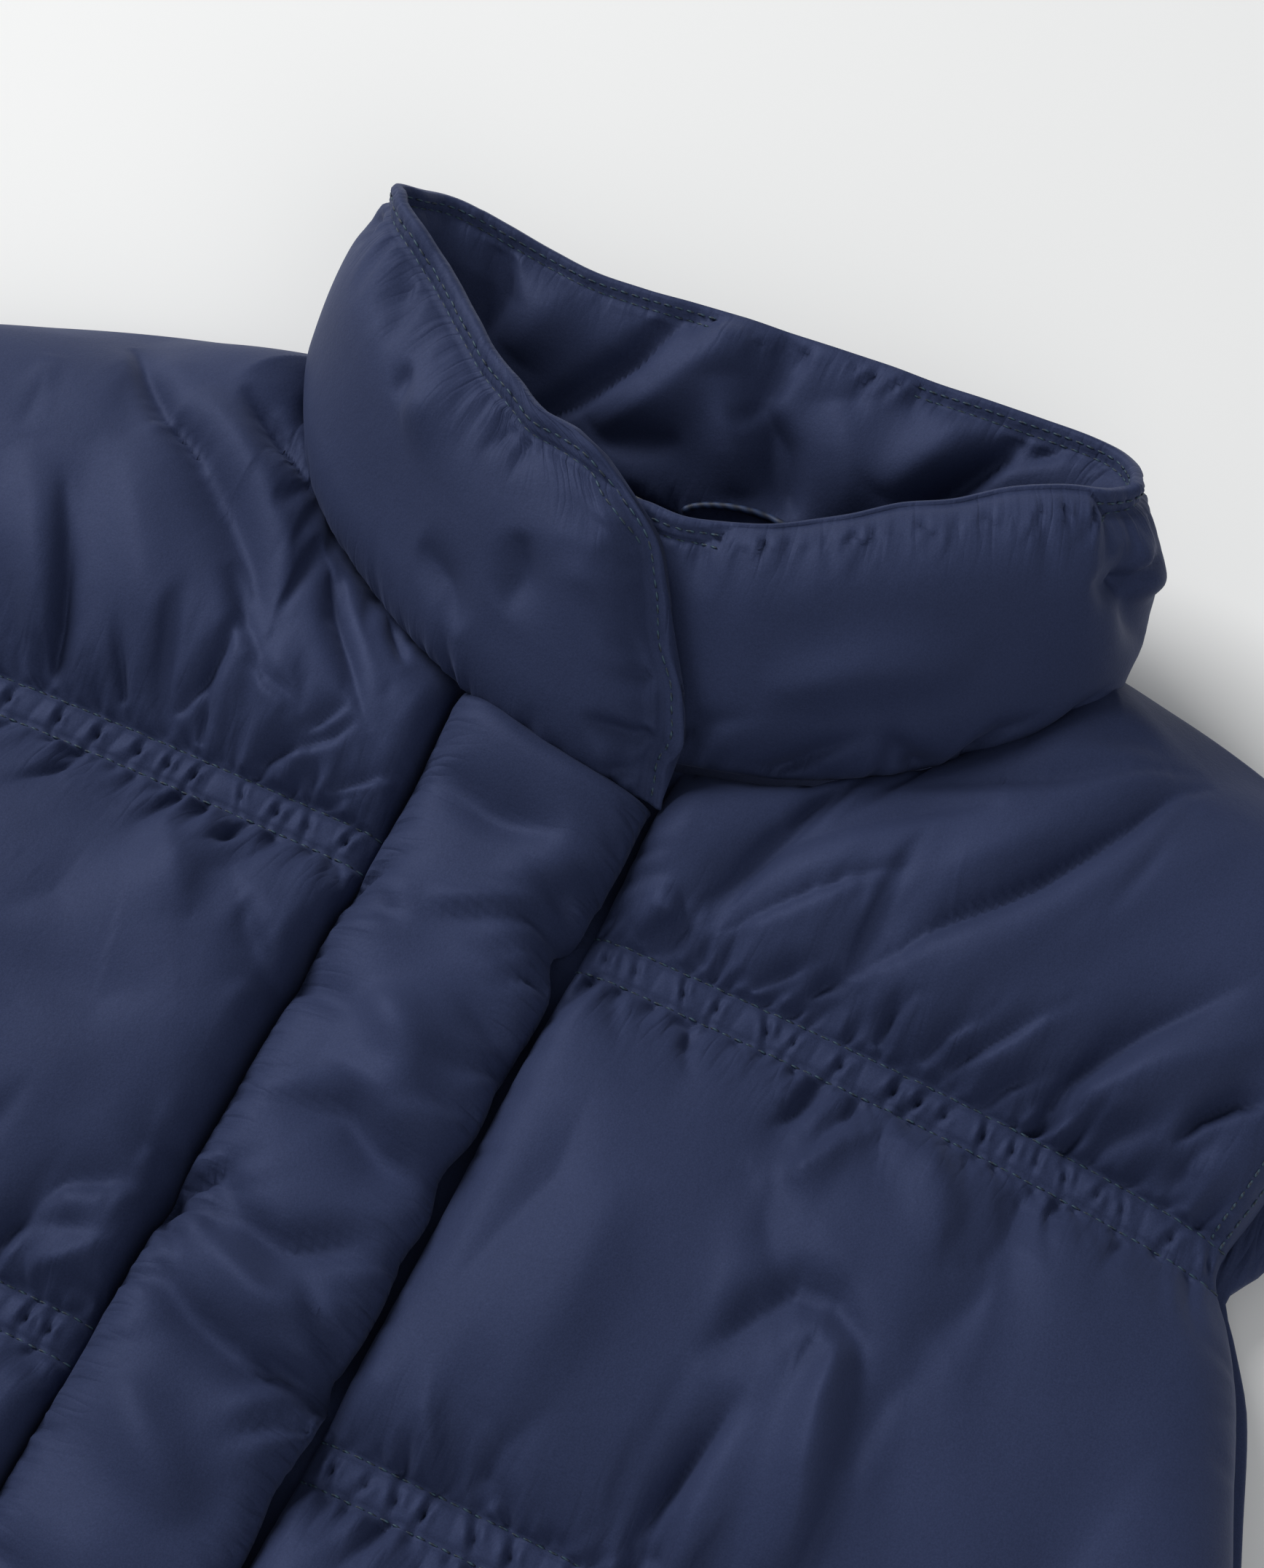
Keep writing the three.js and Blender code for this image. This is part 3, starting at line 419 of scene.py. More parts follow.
def settle(name, grid, pinned, spare, look):
    rows, cols = grid.shape[:2]
    flat = grid.reshape(-1, 3)
    mesh = bpy.data.meshes.new(name)
    mesh.from_pydata((flat * simScale).tolist(), [], gridFaces(rows, cols).tolist())
    piece = bpy.data.objects.new(name, mesh)
    bpy.context.scene.collection.objects.link(piece)
    group = piece.vertex_groups.new(name="sewn")
    for index in np.flatnonzero(pinned.reshape(-1)):
        group.add([int(index)], 1.0, "REPLACE")
    piece.shape_key_add(name="Basis")
    rest = piece.shape_key_add(name="rest")
    across = np.linalg.norm(np.gradient(grid, axis=1), axis=2)
    sign = np.where(np.arange(cols) % 2, 1.0, -1.0)[None, :]
    restGrid = grid * [1, look["keepDown"], 1]
    restGrid[..., 2] += sign * across / 2 * np.sqrt((1 + spare) ** 2 - 1)
    rest.data.foreach_set("co", (restGrid.reshape(-1) * simScale))
    cloth = piece.modifiers.new("cloth", "CLOTH")
    cloth.settings.rest_shape_key = rest
    cloth.settings.vertex_group_mass = "sewn"
    for key, value in look["settings"].items():
        setattr(cloth.settings, key, value)
    cloth.settings.effector_weights.gravity = 0
    cloth.collision_settings.use_collision = False
    cloth.collision_settings.use_self_collision = False
    cloth.point_cache.frame_start = 1
    cloth.point_cache.frame_end = look["frames"]
    for step in range(1, look["frames"] + 1):
        bpy.context.scene.frame_set(step)
    evaluated = piece.evaluated_get(bpy.context.evaluated_depsgraph_get())
    co = np.empty(len(flat) * 3)
    evaluated.data.vertices.foreach_get("co", co)
    settled = co.reshape(grid.shape) / simScale
    bpy.context.scene.frame_set(1)
    bpy.data.objects.remove(piece, do_unlink=True)
    bpy.data.meshes.remove(mesh)
    moved = settled - grid
    share = np.linalg.norm(moved, axis=2, keepdims=True) / look["cap"]
    return grid + moved * np.tanh(share) / np.maximum(share, 1e-6)


# The cloth's map, in metres along and away from the sewn rows, and how gathered it is, from 0 to 1.
gathered = dict(reach=7.0, placket=5.0, collar=6.0, collarShare=0.35, fromBand=0.45, rim=2)


def mapCloth(piece, along, away, gather):
    mesh = piece.data
    corners = np.empty(len(mesh.loops), np.int32)
    mesh.loops.foreach_get("vertex_index", corners)
    layer = mesh.uv_layers.new(name="cloth")
    layer.data.foreach_set("uv", (np.stack([along, away], 1)[corners] / 1000).reshape(-1))
    shade = mesh.attributes.new("gather", "FLOAT", "POINT")
    shade.data.foreach_set("value", np.asarray(gather, np.float32))


# The fronts
frontLook = dict(
    frames=18, cap=6.0, keepDown=0.97, spare=0.02, spareByRow=0.25, spareReach=13, spareRim=1.5,
    settings=dict(
        quality=4, mass=0.3, air_damping=2.0, tension_stiffness=15.0, compression_stiffness=15.0,
        shear_stiffness=5.0, bending_model="LINEAR", bending_stiffness=4.0, use_pressure=True,
        uniform_pressure_force=2.0,
    ),
)
frontPlan = dict(
    columns=290, covered=6, yoke=84, channel=8, panels=(84, 60, 50), rowEase=0.09, innerStep=12,
    neckEnd=105.0, levelReach=20, liftShare=0.5, domeEnds=0.84, dome=0.16, panelGain=1.7,
    rowClear=1.5, edgeClear=2, groove=0.2, thinnest=1.2,
)
frontCuts = dict(
    front_left=dict(inner=-20.0, rest=27.3, bow=7.0, sign=1, seed=3, frontEdge=11.0, stitchFrom=8),
    front_right=dict(inner=28.3, rest=28.3, bow=3.5, sign=-1, seed=8, frontEdge=7.5, stitchFrom=3),
)
gathers = dict(
    spacing=(2.6, 10.5), above=18.0, below=26.0, deep=5.2, crossing=(6.0, 15.0), crossReach=9,
    crossDeep=1.6, foldScale=1.55, lumpHeight=1.5, lumpSize=34.0, lumpShear=0.4,
)
# The little puffs between the two stitch rows of a channel.
band = dict(
    level=4.5, spacing=(4.2, 9.5), height=0.9, flat=0.42, least=0.5, more=0.6, sink=0.3, rise=1.2,
    arch=0.45, slant=0.32, slantSize=17,
)
# Height, half width, lean, whether it fades from its first end only, then its points.
frontFolds = [
    [-4.5, 3.2, 0.3, 0, -153, 55, -145, 48, -139, 42, -131, 35, -122, 31, -112, 25],
    [-5.5, 5.5, 0, 0, -129, 34, -117, 28, -108, 21, -97, 12, -86, 2, -74, -10],
    [-3, 2.5, 0.2, 0, -94, 3, -84, -7, -75, -15, -68, -21],
    [3, 7, 0, 0, -127, 45, -110, 32, -95, 21, -82, 9, -70, -5],
    [-5, 3.5, 0.3, 0, -117, 49, -109, 43, -100, 37, -92, 33, -85, 30],
    [2.5, 6, 0, 0, -108, 48, -91, 34, -81, 23, -71, 11],
    [-4.5, 2.6, -0.4, 0, -79, 20, -69, 8, -59, -3, -50, -12, -40, -23],
    [-3, 2, 0.2, 0, -62, 18, -56, 10, -50, 4, -42, -4],
    [-5, 2.4, -0.35, 1, -121, -40, -123, -27, -127, -17, -133, -6, -140, 4, -148, 13],
    [3, 8, 0, 0, -154, 10, -142, -5, -132, -21, -128, -34],
    [3, 9, 0, 0, -136, 23, -121, 6, -107, -12, -94, -28],
    [-3.5, 1.8, 0, 1, -125, -39, -125, -36, -126, -31],
    [-3.5, 2, 0.2, 1, -102, -36, -105, -30, -110, -23, -112, -17],
    [-4, 2, 0.3, 0, -92, -39, -87, -34, -85, -29, -83, -24, -82, -18, -83, -10],
    [-3.5, 2.2, 0.2, 1, -80, -38, -81, -32, -83, -25, -84, -20],
    [-4, 2.2, 0.35, 0, -68, -44, -66, -38, -60, -34, -53, -30, -48, -27, -44, -21],
    [-3, 2.4, 0.3, 0, -56, -29, -52, -24, -48, -18],
    [-2.5, 1.9, 0, 0, -76, -18, -69, -21, -63, -22, -56, -25],
    [-3.5, 2, 0.3, 0, -47, -43, -46, -37, -41, -33, -35, -30, -28, -28],
    [-3, 2, 0, 0, -39, -45, -33, -42, -30, -37],
    [-2.5, 2, 0, 1, -56, -43, -57, -37, -55, -35],
    [-2, 6, 0, 0, -166, 38, -161, 26, -158, 13],
    [-6, 4, 0.4, 0, 86, -38, 85, -35, 87, -30, 91, -27, 97, -22, 100, -16, 106, -8, 113, 0,
     120, 9, 124, 16, 129, 24, 134, 33, 137, 41, 140, 49, 146, 56],
    [-4, 6, 0.3, 0, 40, -33, 51, -23, 61, -11, 75, 2, 90, 13, 105, 23],
    [-3.5, 2.2, 0.4, 0, 53, -36, 54, -32, 61, -27, 70, -20, 81, -11, 94, -2],
    [-3, 4, 0.3, 0, 82, 18, 96, 25, 112, 34, 127, 46, 142, 58],
    [-2.5, 3, 0.2, 0, 60, -3, 64, 5, 69, 14],
    [3, 8, 0, 0, 56, -32, 75, -23, 92, -10, 108, 8, 123, 26],
    [3, 9, 0, 0, 92, -35, 108, -21, 126, 2, 143, 26, 158, 45],
    [-3.5, 2, 0.2, 1, 45, -43, 46, -36, 48, -32, 49, -27],
    [-3, 1.6, 0, 1, 54, -38, 53, -35, 53, -32],
    [-3, 2, 0.2, 1, 69, -38, 73, -34, 79, -30, 84, -28],
    [-3, 1.6, 0.2, 0, 79, -38, 82, -34, 86, -30],
    [-4.5, 2.2, 0.35, 1, 99, -38, 100, -33, 103, -29, 107, -25],
    [-3, 2, 0.3, 1, 110, -38, 113, -32, 119, -27, 124, -19],
    [-3.5, 2.2, 0.3, 1, 116, -38, 120, -34, 126, -27, 134, -17, 141, -9],
    [-7, 5, 0.4, 1, 139, -43, 141, -35, 143, -29, 148, -23, 154, -14, 163, -3, 175, 13],
    [-3.5, 2, 0.3, 1, 127, -42, 130, -36, 136, -31, 143, -25],
    [-4, 2.6, 0.35, 0, 168, -35, 172, -27, 178, -21, 186, -17],
    [3, 7, 0, 0, 146, -37, 155, -25, 169, -13, 180, -2],
    [3, 5, 0, 0, 37, -38, 40, -34, 45, -30],
    [-4, 5, 0.3, 1, -27, -90, -41, -81, -51, -71, -60, -62],
    [3, 7, 0, 0, -75, -60, -66, -72, -56, -86],
    [-4, 5, 0.3, 0, -57, -170, -53, -159, -48, -151, -31, -143, -25, -141],
    [-3, 4, 0, 1, -25, -133, -35, -135, -40, -143],
    [3, 4, 0, 0, -53, -176, -38, -164, -29, -155],
    [-2.5, 11, 0.2, 0, -94, -112, -63, -112, -48, -102],
    [-2.5, 8, 0.2, 0, -97, -106, -86, -93, -85, -64],
    [-3, 7, 0.2, 1, -152, -58, -146, -78, -131, -100],
    [3, 9, 0, 0, -188, -74, -180, -96, -166, -120],
    [-5.5, 4.5, 0.3, 1, 101, -49, 100, -60, 95, -76],
    [-3, 5, 0, 0, 86, -62, 91, -70, 97, -80],
    [3.5, 6, 0, 0, 101, -66, 108, -55, 119, -60, 127, -69, 134, -86],
    [-3.5, 4, 0.2, 1, 128, -50, 129, -60, 133, -69],
    [-4.5, 4.5, 0.3, 1, 144, -49, 143, -60, 144, -72, 142, -80, 133, -86],
    [-3, 7, 0, 0, 149, -73, 145, -89, 135, -108],
    [-5.5, 6, -0.3, 0, 95, -128, 102, -112, 108, -104, 117, -104, 125, -110, 130, -119],
    [5, 5, 0.2, 0, 110, -114, 117, -110, 122, -115, 122, -125, 124, -139, 131, -162],
    [-4.5, 6, 0.3, 1, 101, -177, 101, -157, 107, -140, 112, -128],
    [-3, 6, 0, 1, 122, -177, 118, -156, 113, -140],
    [3, 5, 0, 1, 52, -176, 47, -160, 42, -150],
    [-4, 5, 0, 1, 62, -176, 66, -160, 75, -146],
    [-2.5, 9, 0, 0, 190, -100, 184, -136, 175, -170],
    [-3.5, 6, 0.2, 1, -176, -186, -170, -208, -158, -234],
    [3, 8, 0, 0, -122, -188, -110, -206, -94, -226],
    [-3, 8, 0.2, 0, -96, -264, -68, -250, -40, -246],
    [-3.5, 6, 0.2, 1, -150, -308, -146, -284, -136, -260],
    [-3.5, 6, 0.2, 1, 58, -186, 68, -206, 86, -228],
    [-4, 5, 0.2, 1, 134, -186, 133, -202, 127, -222],
    [-3, 8, 0.2, 0, 114, -248, 140, -256, 166, -270],
    [3, 8, 0, 0, 188, -306, 180, -284, 168, -260],
    [-3.5, 7, 0.2, 1, -184, -320, -178, -346, -164, -374],
    [-4, 5, 0.2, 1, -104, -320, -100, -342, -91, -368],
    [3, 8, 0, 0, -72, -416, -52, -396, -34, -386],
    [-4, 6, 0.2, 1, 52, -320, 57, -342, 68, -370],
    [3, 8, 0, 0, 112, -322, 122, -346, 138, -374],
    [-3, 7, 0.2, 0, 148, -446, 156, -420, 164, -390],
    [-3.5, 6, 0.2, 1, 196, -320, 190, -344, 176, -370],
    [-5, 4, 0.3, 0, 98, -168, 100, -156, 104, -142, 109, -129],
    [-4, 3, 0.2, 1, 107, -175, 105, -162, 105, -154, 110, -147],
    [-3.5, 3, 0.2, 1, 70, -51, 71, -54, 79, -62],
    [-3, 3, 0.2, 1, 172, -47, 173, -37, 179, -25],
    [-4, 3, 0.2, 1, 116, -52, 118, -57, 122, -64],
    [-3, 8, 0.2, 0, 86, -82, 97, -96, 107, -106],
    [-3, 8, 0.2, 0, 133, -138, 135, -120, 141, -104],
    [3, 4, 0, 0, 85, -64, 93, -71, 98, -80, 103, -69, 108, -56],
    [-3.5, 10, 0.3, 0, 34, -160, 42, -132, 50, -104, 47, -78],
    [3, 12, 0, 0, 60, -158, 66, -128, 62, -98],
    [-3.5, 9, 0.3, 0, -134, -150, -118, -134, -108, -112],
    [3, 12, 0, 0, -112, -160, -98, -138, -92, -116],
    [-4, 6, 0.3, 0, -30, -158, -46, -160, -66, -168, -80, -178],
    [-5, 3, 0.3, 1, -60, -51, -61, -60, -66, -72],
    [-4, 2.4, 0.2, 1, -104, -51, -106, -62, -114, -74],
    [-4.5, 2.6, 0.3, 1, 92, -51, 90, -62, 84, -74],
    [-4.5, 2.6, 0.3, 1, 58, -51, 60, -60, 66, -68],
    [-4, 2.4, 0.2, 1, 152, -51, 150, -60, 153, -72],
    [-4, 2.4, 0.2, 1, 170, -53, 166, -62, 165, -72],
]


neckEase = neckRise["collarEdge"] + neckRise["gap"] + neckRise["ease"]


# Points on the shoulder from its neck end to its tip, for shares of its length.
def shoulderLine(cut, start, t):
    x = start[0] + (shoulderTip["x"] - start[0]) * t
    y = start[1] + (shoulderTip["y"] - start[1]) * t + cut["bow"] * np.sin(math.pi * t)
    return np.stack([x, y], 1)


def frontTop(cut):
    at = np.linspace(neckAtX(cut["inner"]), neckPointAt, 300)
    neck = besideNeck(at, neckEase)
    shoulder = shoulderLine(cut, neck[-1], np.linspace(0, 1, 200)[1:])
    return neck, np.concatenate([neck[:, :2], shoulder])


# Points along the top outline of a front, one for each share of its width.
def topLine(cut, shares):
    neck, outline = frontTop(cut)
    width = sideX(channels["ys"][0]) - cut["inner"]
    neckShare = (frontPlan["neckEnd"] - cut["inner"]) / width
    restShare = (cut["rest"] - cut["inner"]) / width
    stops = [neckAtX(cut["inner"]), neckAtX(cut["rest"]), neckPointAt]
    at = np.interp(shares, [0, max(restShare, 1e-6), neckShare], stops)
    t = within(shares - neckShare, 1 - neckShare)
    shoulder = shoulderLine(cut, besideNeck(np.array([neckPointAt]), neckEase)[0], t)
    isNeck = (shares <= neckShare)[:, None]
    return np.where(isNeck, besideNeck(at, neckEase)[:, :2], shoulder), neck, outline


def nearest(points, samples):
    best = np.full(points.shape[:-1], 1e9)
    stops = np.concatenate([samples[:-1:4, :2], samples[-1:, :2]])
    for (x, y), (dx, dy) in zip(stops, np.diff(stops, axis=0)):
        offX, offY = points[..., 0] - x, points[..., 1] - y
        t = np.clip((offX * dx + offY * dy) / (dx * dx + dy * dy), 0, 1)
        best = np.minimum(best, np.hypot(offX - t * dx, offY - t * dy))
    return best


# Puckers fan out from the middle of the vest; those over the first channel follow the yoke's folds.
fan = dict(middle=22, byX=0.28, yokeLeft=-34, yokeRight=-24, yokeSide=28, yokeSideX=-66)


def leanFrom(side, isYoke):
    def lean(x):
        if isYoke:
            rightSide = fan["yokeSide"] if x < fan["yokeSideX"] else fan["yokeRight"]
            return fan["yokeLeft"] if x > 0 else rightSide
        return side * (fan["middle"] - fan["byX"] * abs(x)) * np.sign(x)
    return lean


# Puckers start at each stitch row, at the neck seam and along the armhole and the other edges.
def frontPuckers(cut, lines, outline):
    sign, seed = cut["sign"], cut["seed"]
    rows = []
    for k in range(3):
        for side, line, longest in ((1, 1, gathers["above"]), (-1, 2, gathers["below"])):
            row = lines[2 * k + line] * [sign, 1]
            lean = leanFrom(side, k == 0 and side > 0)
            rows += rowPuckers(
                seed + 20 * k + side, row, (0, side), gathers["spacing"], longest, lean,
                gathers["deep"])
    # Down the armhole, the side and the front edge.
    armY, sideY = np.linspace(36, -40, 40), np.linspace(-64, hemY, 200)
    frontY = np.linspace(-6, hemY, 200)
    # Seed, line, normal, spacing, longest and depth: neck and shoulder, armhole, side, front, hem.
    edges = [
        (90, outline[::6][:50], (0.2, -1), (6, 16), 16, 1.8),
        (91, np.stack([sideX(armY), armY], 1), (-1, 0), (5, 14), 14, 2.0),
        (92, np.stack([sideX(sideY), sideY], 1), (-1, 0), (8, 26), 16, 1.8),
        (93, np.stack([np.full(200, cut["rest"]), frontY], 1), (1, 0), (6, 20), 20, 2.4),
        (94, lines[-1], (0, 1), (4, 12), 14, 2.0),
    ]
    for more, line, (nx, ny), spacing, longest, deep in edges:
        rows += rowPuckers(seed + more, line * [sign, 1], (nx * sign, ny), spacing, longest, 0, deep)
    return rows


# The lines between which a front's grid is drawn: its top, each channel's stitch rows and its hem.
def frontLines(cut, shares, restShare, top):
    def across(y):
        openX = cut["rest"] + (sideX(y) - cut["rest"]) * (shares - restShare) / (1 - restShare)
        if restShare == 0:
            return openX
        under = cut["inner"] + (cut["rest"] - cut["inner"]) * shares / restShare
        return np.where(shares < restShare, under, openX)

    lines = [top]
    for k, middle in enumerate(channels["ys"]):
        for half in (channels["width"] / 2, -channels["width"] / 2):
            y = middle + half - channels["droop"] * shares ** 4 * (k == 0)
            lines.append(np.stack([across(y), y], 1))
    lines.append(np.stack([across(np.full_like(shares, hemY)), hemY + hemRise * shares ** 3], 1))
    return lines


# The grid's rows from line to line, closer together next to the channels, where the gathers are
# short. Beside each row's place it gives the number of its part and how far down that part it is.
def frontRows(lines, shares):
    plan = frontPlan
    places, parts, fractions = [], [], []
    counts = [plan["yoke"]]
    for count in plan["panels"]:
        counts += [plan["channel"], count]
    for part, count in enumerate(counts):
        fs = np.linspace(0, 1, count + 1)[:-1]
        if part % 2 == 0:
            fs = fs - plan["rowEase"] * np.sin(2 * math.pi * fs)
        if part == len(counts) - 1:
            fs = np.append(fs, 1.0)
        for f in fs:
            place = lines[part] * (1 - f) + lines[part + 1] * f
            place[:, 0] += (sideX(place[-1, 1]) - place[-1, 0]) * shares ** 2
            places.append(place)
            parts.append(part)
            fractions.append(f)
    return np.array(places), np.array(parts), np.array(fractions)[:, None]


def channelCreases(cut, lines):
    rows = []
    for k in range(3):
        row = (lines[2 * k + 1] + lines[2 * k + 2]) / 2 * [cut["sign"], 1]
        rows += crossing(
            cut["seed"] + 60 + k, row, gathers["crossing"], channels["width"] / 2,
            gathers["crossReach"], gathers["crossDeep"])
    return rows


# Between its two stitch rows a channel is a string of flat little puffs with creases across.
def bandPuffs(seed, k, shares, place):
    bandSeed = seed + 10 * k
    offY = place[..., 1] - channels["ys"][k] + channels["droop"] * shares ** 4 * (k == 0)
    slant = band["slant"] * lumps(bandSeed, place[..., 0], np.zeros_like(offY), band["slantSize"])
    along = place[..., 0] + slant * offY
    ridges, chance = gatherRipple(bandSeed, band["spacing"], along, band["flat"])
    bulge = band["height"] * (ridges * (band["least"] + band["more"] * chance) - band["sink"])
    return bulge + band["rise"]


# The numbers of the rows that are sewn: the two edges of each channel.
def sewnRowsOf(rowPart):
    bands = [np.flatnonzero(rowPart == 2 * k + 1) for k in range(3)]
    return [row for rowsOf in bands for row in (rowsOf[0], rowsOf[-1] + 1)]


# The sewn rows, the edges and what the placket covers hold still while the cloth settles.
def frontMoves(name, surface, sewnRows, covered, toChannel, free):
    look = frontLook
    pinned = np.zeros(surface.shape[:2], bool)
    pinned[[0, -1] + sewnRows] = True
    pinned[:, -1] = True
    pinned[:, :covered + 1] = True
    spare = look["spare"] + look["spareByRow"] * np.exp(-toChannel / look["spareReach"])
    spare = spare * smooth(free * look["spareRim"])
    return settleMoves(name + "_cloth", surface, pinned, spare, look, sewnRows)


def makeFront(name):
    cut, plan = frontCuts[name], frontPlan
    sign, seed = cut["sign"], cut["seed"]
    width = sideX(channels["ys"][0]) - cut["inner"]
    restShare = (cut["rest"] - cut["inner"]) / width
    openShares = restShare + (1 - restShare) * np.linspace(0, 1, plan["columns"] + 1)
    covered = np.linspace(0, restShare, plan["covered"], endpoint=False) if restShare > 0 else []
    shares = np.concatenate([covered, openShares])
    top, neck, outline = topLine(cut, shares)
    lines = frontLines(cut, shares, restShare, top)
    place, rowPart, f = frontRows(lines, shares)
    part = rowPart[:, None]
    length = np.array([np.linalg.norm(a - b, axis=1) for a, b in zip(lines, lines[1:])])[rowPart]
    isChannel, isYoke, isSkirt = part % 2 == 1, part == 0, part == 6

    fromTop = np.where(isYoke, nearest(place, outline), f * length)
    fromBottom = (1 - f) * length
    neckShare = (plan["neckEnd"] - cut["inner"]) / width
    alongNeck = np.interp(shares, [0, neckShare], [neckAtX(cut["inner"]), neckPointAt])
    fade = smooth(1 - nearest(place, neck) / neckRise["reach"])
    rise = np.maximum(neckPoint(alongNeck)[:, 2] - neckRise["sewnDepth"] - wall["rest"], 0)
    lift = np.where(isYoke, rise * fade, 0)
    inner = wall["rest"] + lift
    fromSide = sideX(place[..., 1]) - place[..., 0]
    bySide = crown(fromSide, np.where(isYoke, reach["armhole"], reach["side"]))
    isCovered = (shares <= restShare)[None, :]
    fromFront = np.where(isCovered, 0, place[..., 0] - cut["rest"])
    byFront = crown(fromFront, cut["frontEdge"])
    byTop = np.where(isYoke, slope(fromTop, reach["top"]), seamRise(fromTop))
    byBottom = np.where(isSkirt, crown(fromBottom, reach["hem"]), seamRise(fromBottom))
    free = np.minimum(byFront, bySide)
    dome = np.where(isYoke, 1, plan["domeEnds"] + plan["dome"] * np.sin(math.pi * f))
    realX = sign * place[..., 0]
    level = band["level"] * byFront * bySide * np.where(isYoke, slope(fromTop, plan["levelReach"]), 1)
    level = level * np.where(isSkirt, crown(fromBottom, reach["hem"]), 1)
    puff = wall["puff"] - band["level"] - lift * plan["liftShare"]
    puff = puff * byTop * byBottom * byFront * bySide * dome
    inPanel = free * np.clip(plan["panelGain"] * np.minimum(byTop, byBottom), 0, 1)
    lumpX = realX + gathers["lumpShear"] * place[..., 1]
    broad = gathers["lumpHeight"] * lumps(seed, lumpX, place[..., 1], gathers["lumpSize"])
    folds = gathers["foldScale"] * foldHeight(frontFolds, realX, place[..., 1]) * inPanel
    height = np.where(isChannel, 0, np.maximum(level + puff + folds + broad * inPanel, 0))

    small = puckerHeight(frontPuckers(cut, lines, outline), realX, place[..., 1])
    small = small * within(np.minimum(fromTop, fromBottom), plan["rowClear"])
    small = np.where(isChannel, 0, small)
    small += puckerHeight(channelCreases(cut, lines), realX, place[..., 1])
    fromEdges = np.minimum(fromSide, np.where(isCovered, 0, fromFront))
    small *= within(fromEdges, plan["edgeClear"])
    arch = np.sin(math.pi * f) ** band["arch"] * free
    for k in range(3):
        height = np.where(part == 2 * k + 1, level + bandPuffs(seed, k, shares, place) * arch, height)
    surface = np.stack([place[..., 0], place[..., 1], inner + wall["edge"] + height], -1)

    sewnRows = sewnRowsOf(rowPart)
    toChannel = np.min([np.abs(place[..., 1] - middle) for middle in channels["ys"]], axis=0)
    surface = surface + frontMoves(name, surface, sewnRows, len(covered), toChannel, free)
    surface[..., 2] += small
    surface[sewnRows, :, 2] -= plan["groove"]
    surface[..., 2] = np.maximum(surface[..., 2], inner + plan["thinnest"])
    rows, cols = surface.shape[:2]
    faces, innerKeys = wallFaces(rows, cols, sign < 0, plan["innerStep"])
    rims = [[place[r, c, 0], place[r, c, 1], inner[r, c]] for r, c in innerKeys]
    points = np.concatenate([surface.reshape(-1, 3), np.array(rims)])
    points[:, 0] *= sign
    surface[..., 0] *= sign
    piece = newObject(name + "_cloth", points, faces)
    fromBand = np.maximum(toChannel - channels["width"] / 2, 0)
    beside = np.exp(-fromBand / gathered["reach"]) * smooth(free * gathered["rim"])
    beside = beside * smooth(toChannel / channels["width"] - gathered["fromBand"])
    mapCloth(piece, points[:, 0], points[:, 1], np.append(beside, np.zeros(len(rims))))
    return piece, surface, rowPart


# The placket: a padded strip with a round free edge, crossed by small folds and pinched in places.
placketPlan = dict(
    left=-28.0, right=27.0, thickness=20.5, endThickness=4.6, clearance=1.0, length=455.2, rows=230,
    ring=56, perSpan=12, rowsIn=7, ends=(0, 0.5, 1.2, 2.2, 3.5, 5), topEase=40, topReach=12,
    endIn=0.4, seamIn=1.5, spacing=(3.0, 12), lumpHeight=1.6, lumpSize=17, foldScale=1.7,
)
placketSection = table("across up", [
    [0, 0], [0.4, 0], [0.82, 0], [0.95, 0.09], [1, 0.34], [0.985, 0.62], [0.9, 0.84],
    [0.74, 0.96], [0.54, 1], [0.34, 0.97], [0.17, 0.84], [0.06, 0.58], [0, 0.2],
])
placketTop = table("across y", [[0, 0.2], [0.5, -6.8], [1, -9.5]])
placketPinches = table("y by reach", [
    [-36, 1.5, 9], [-52, 5, 7], [-84, 1.5, 8], [-112, 3, 7], [-133, 1.5, 6], [-164, 2.5, 6],
    [-190, 1.5, 8], [-238, 3, 9], [-276, 1.5, 7], [-314, 3, 9], [-352, 1.5, 8], [-384, 3, 9],
    [-428, 2, 8],
])
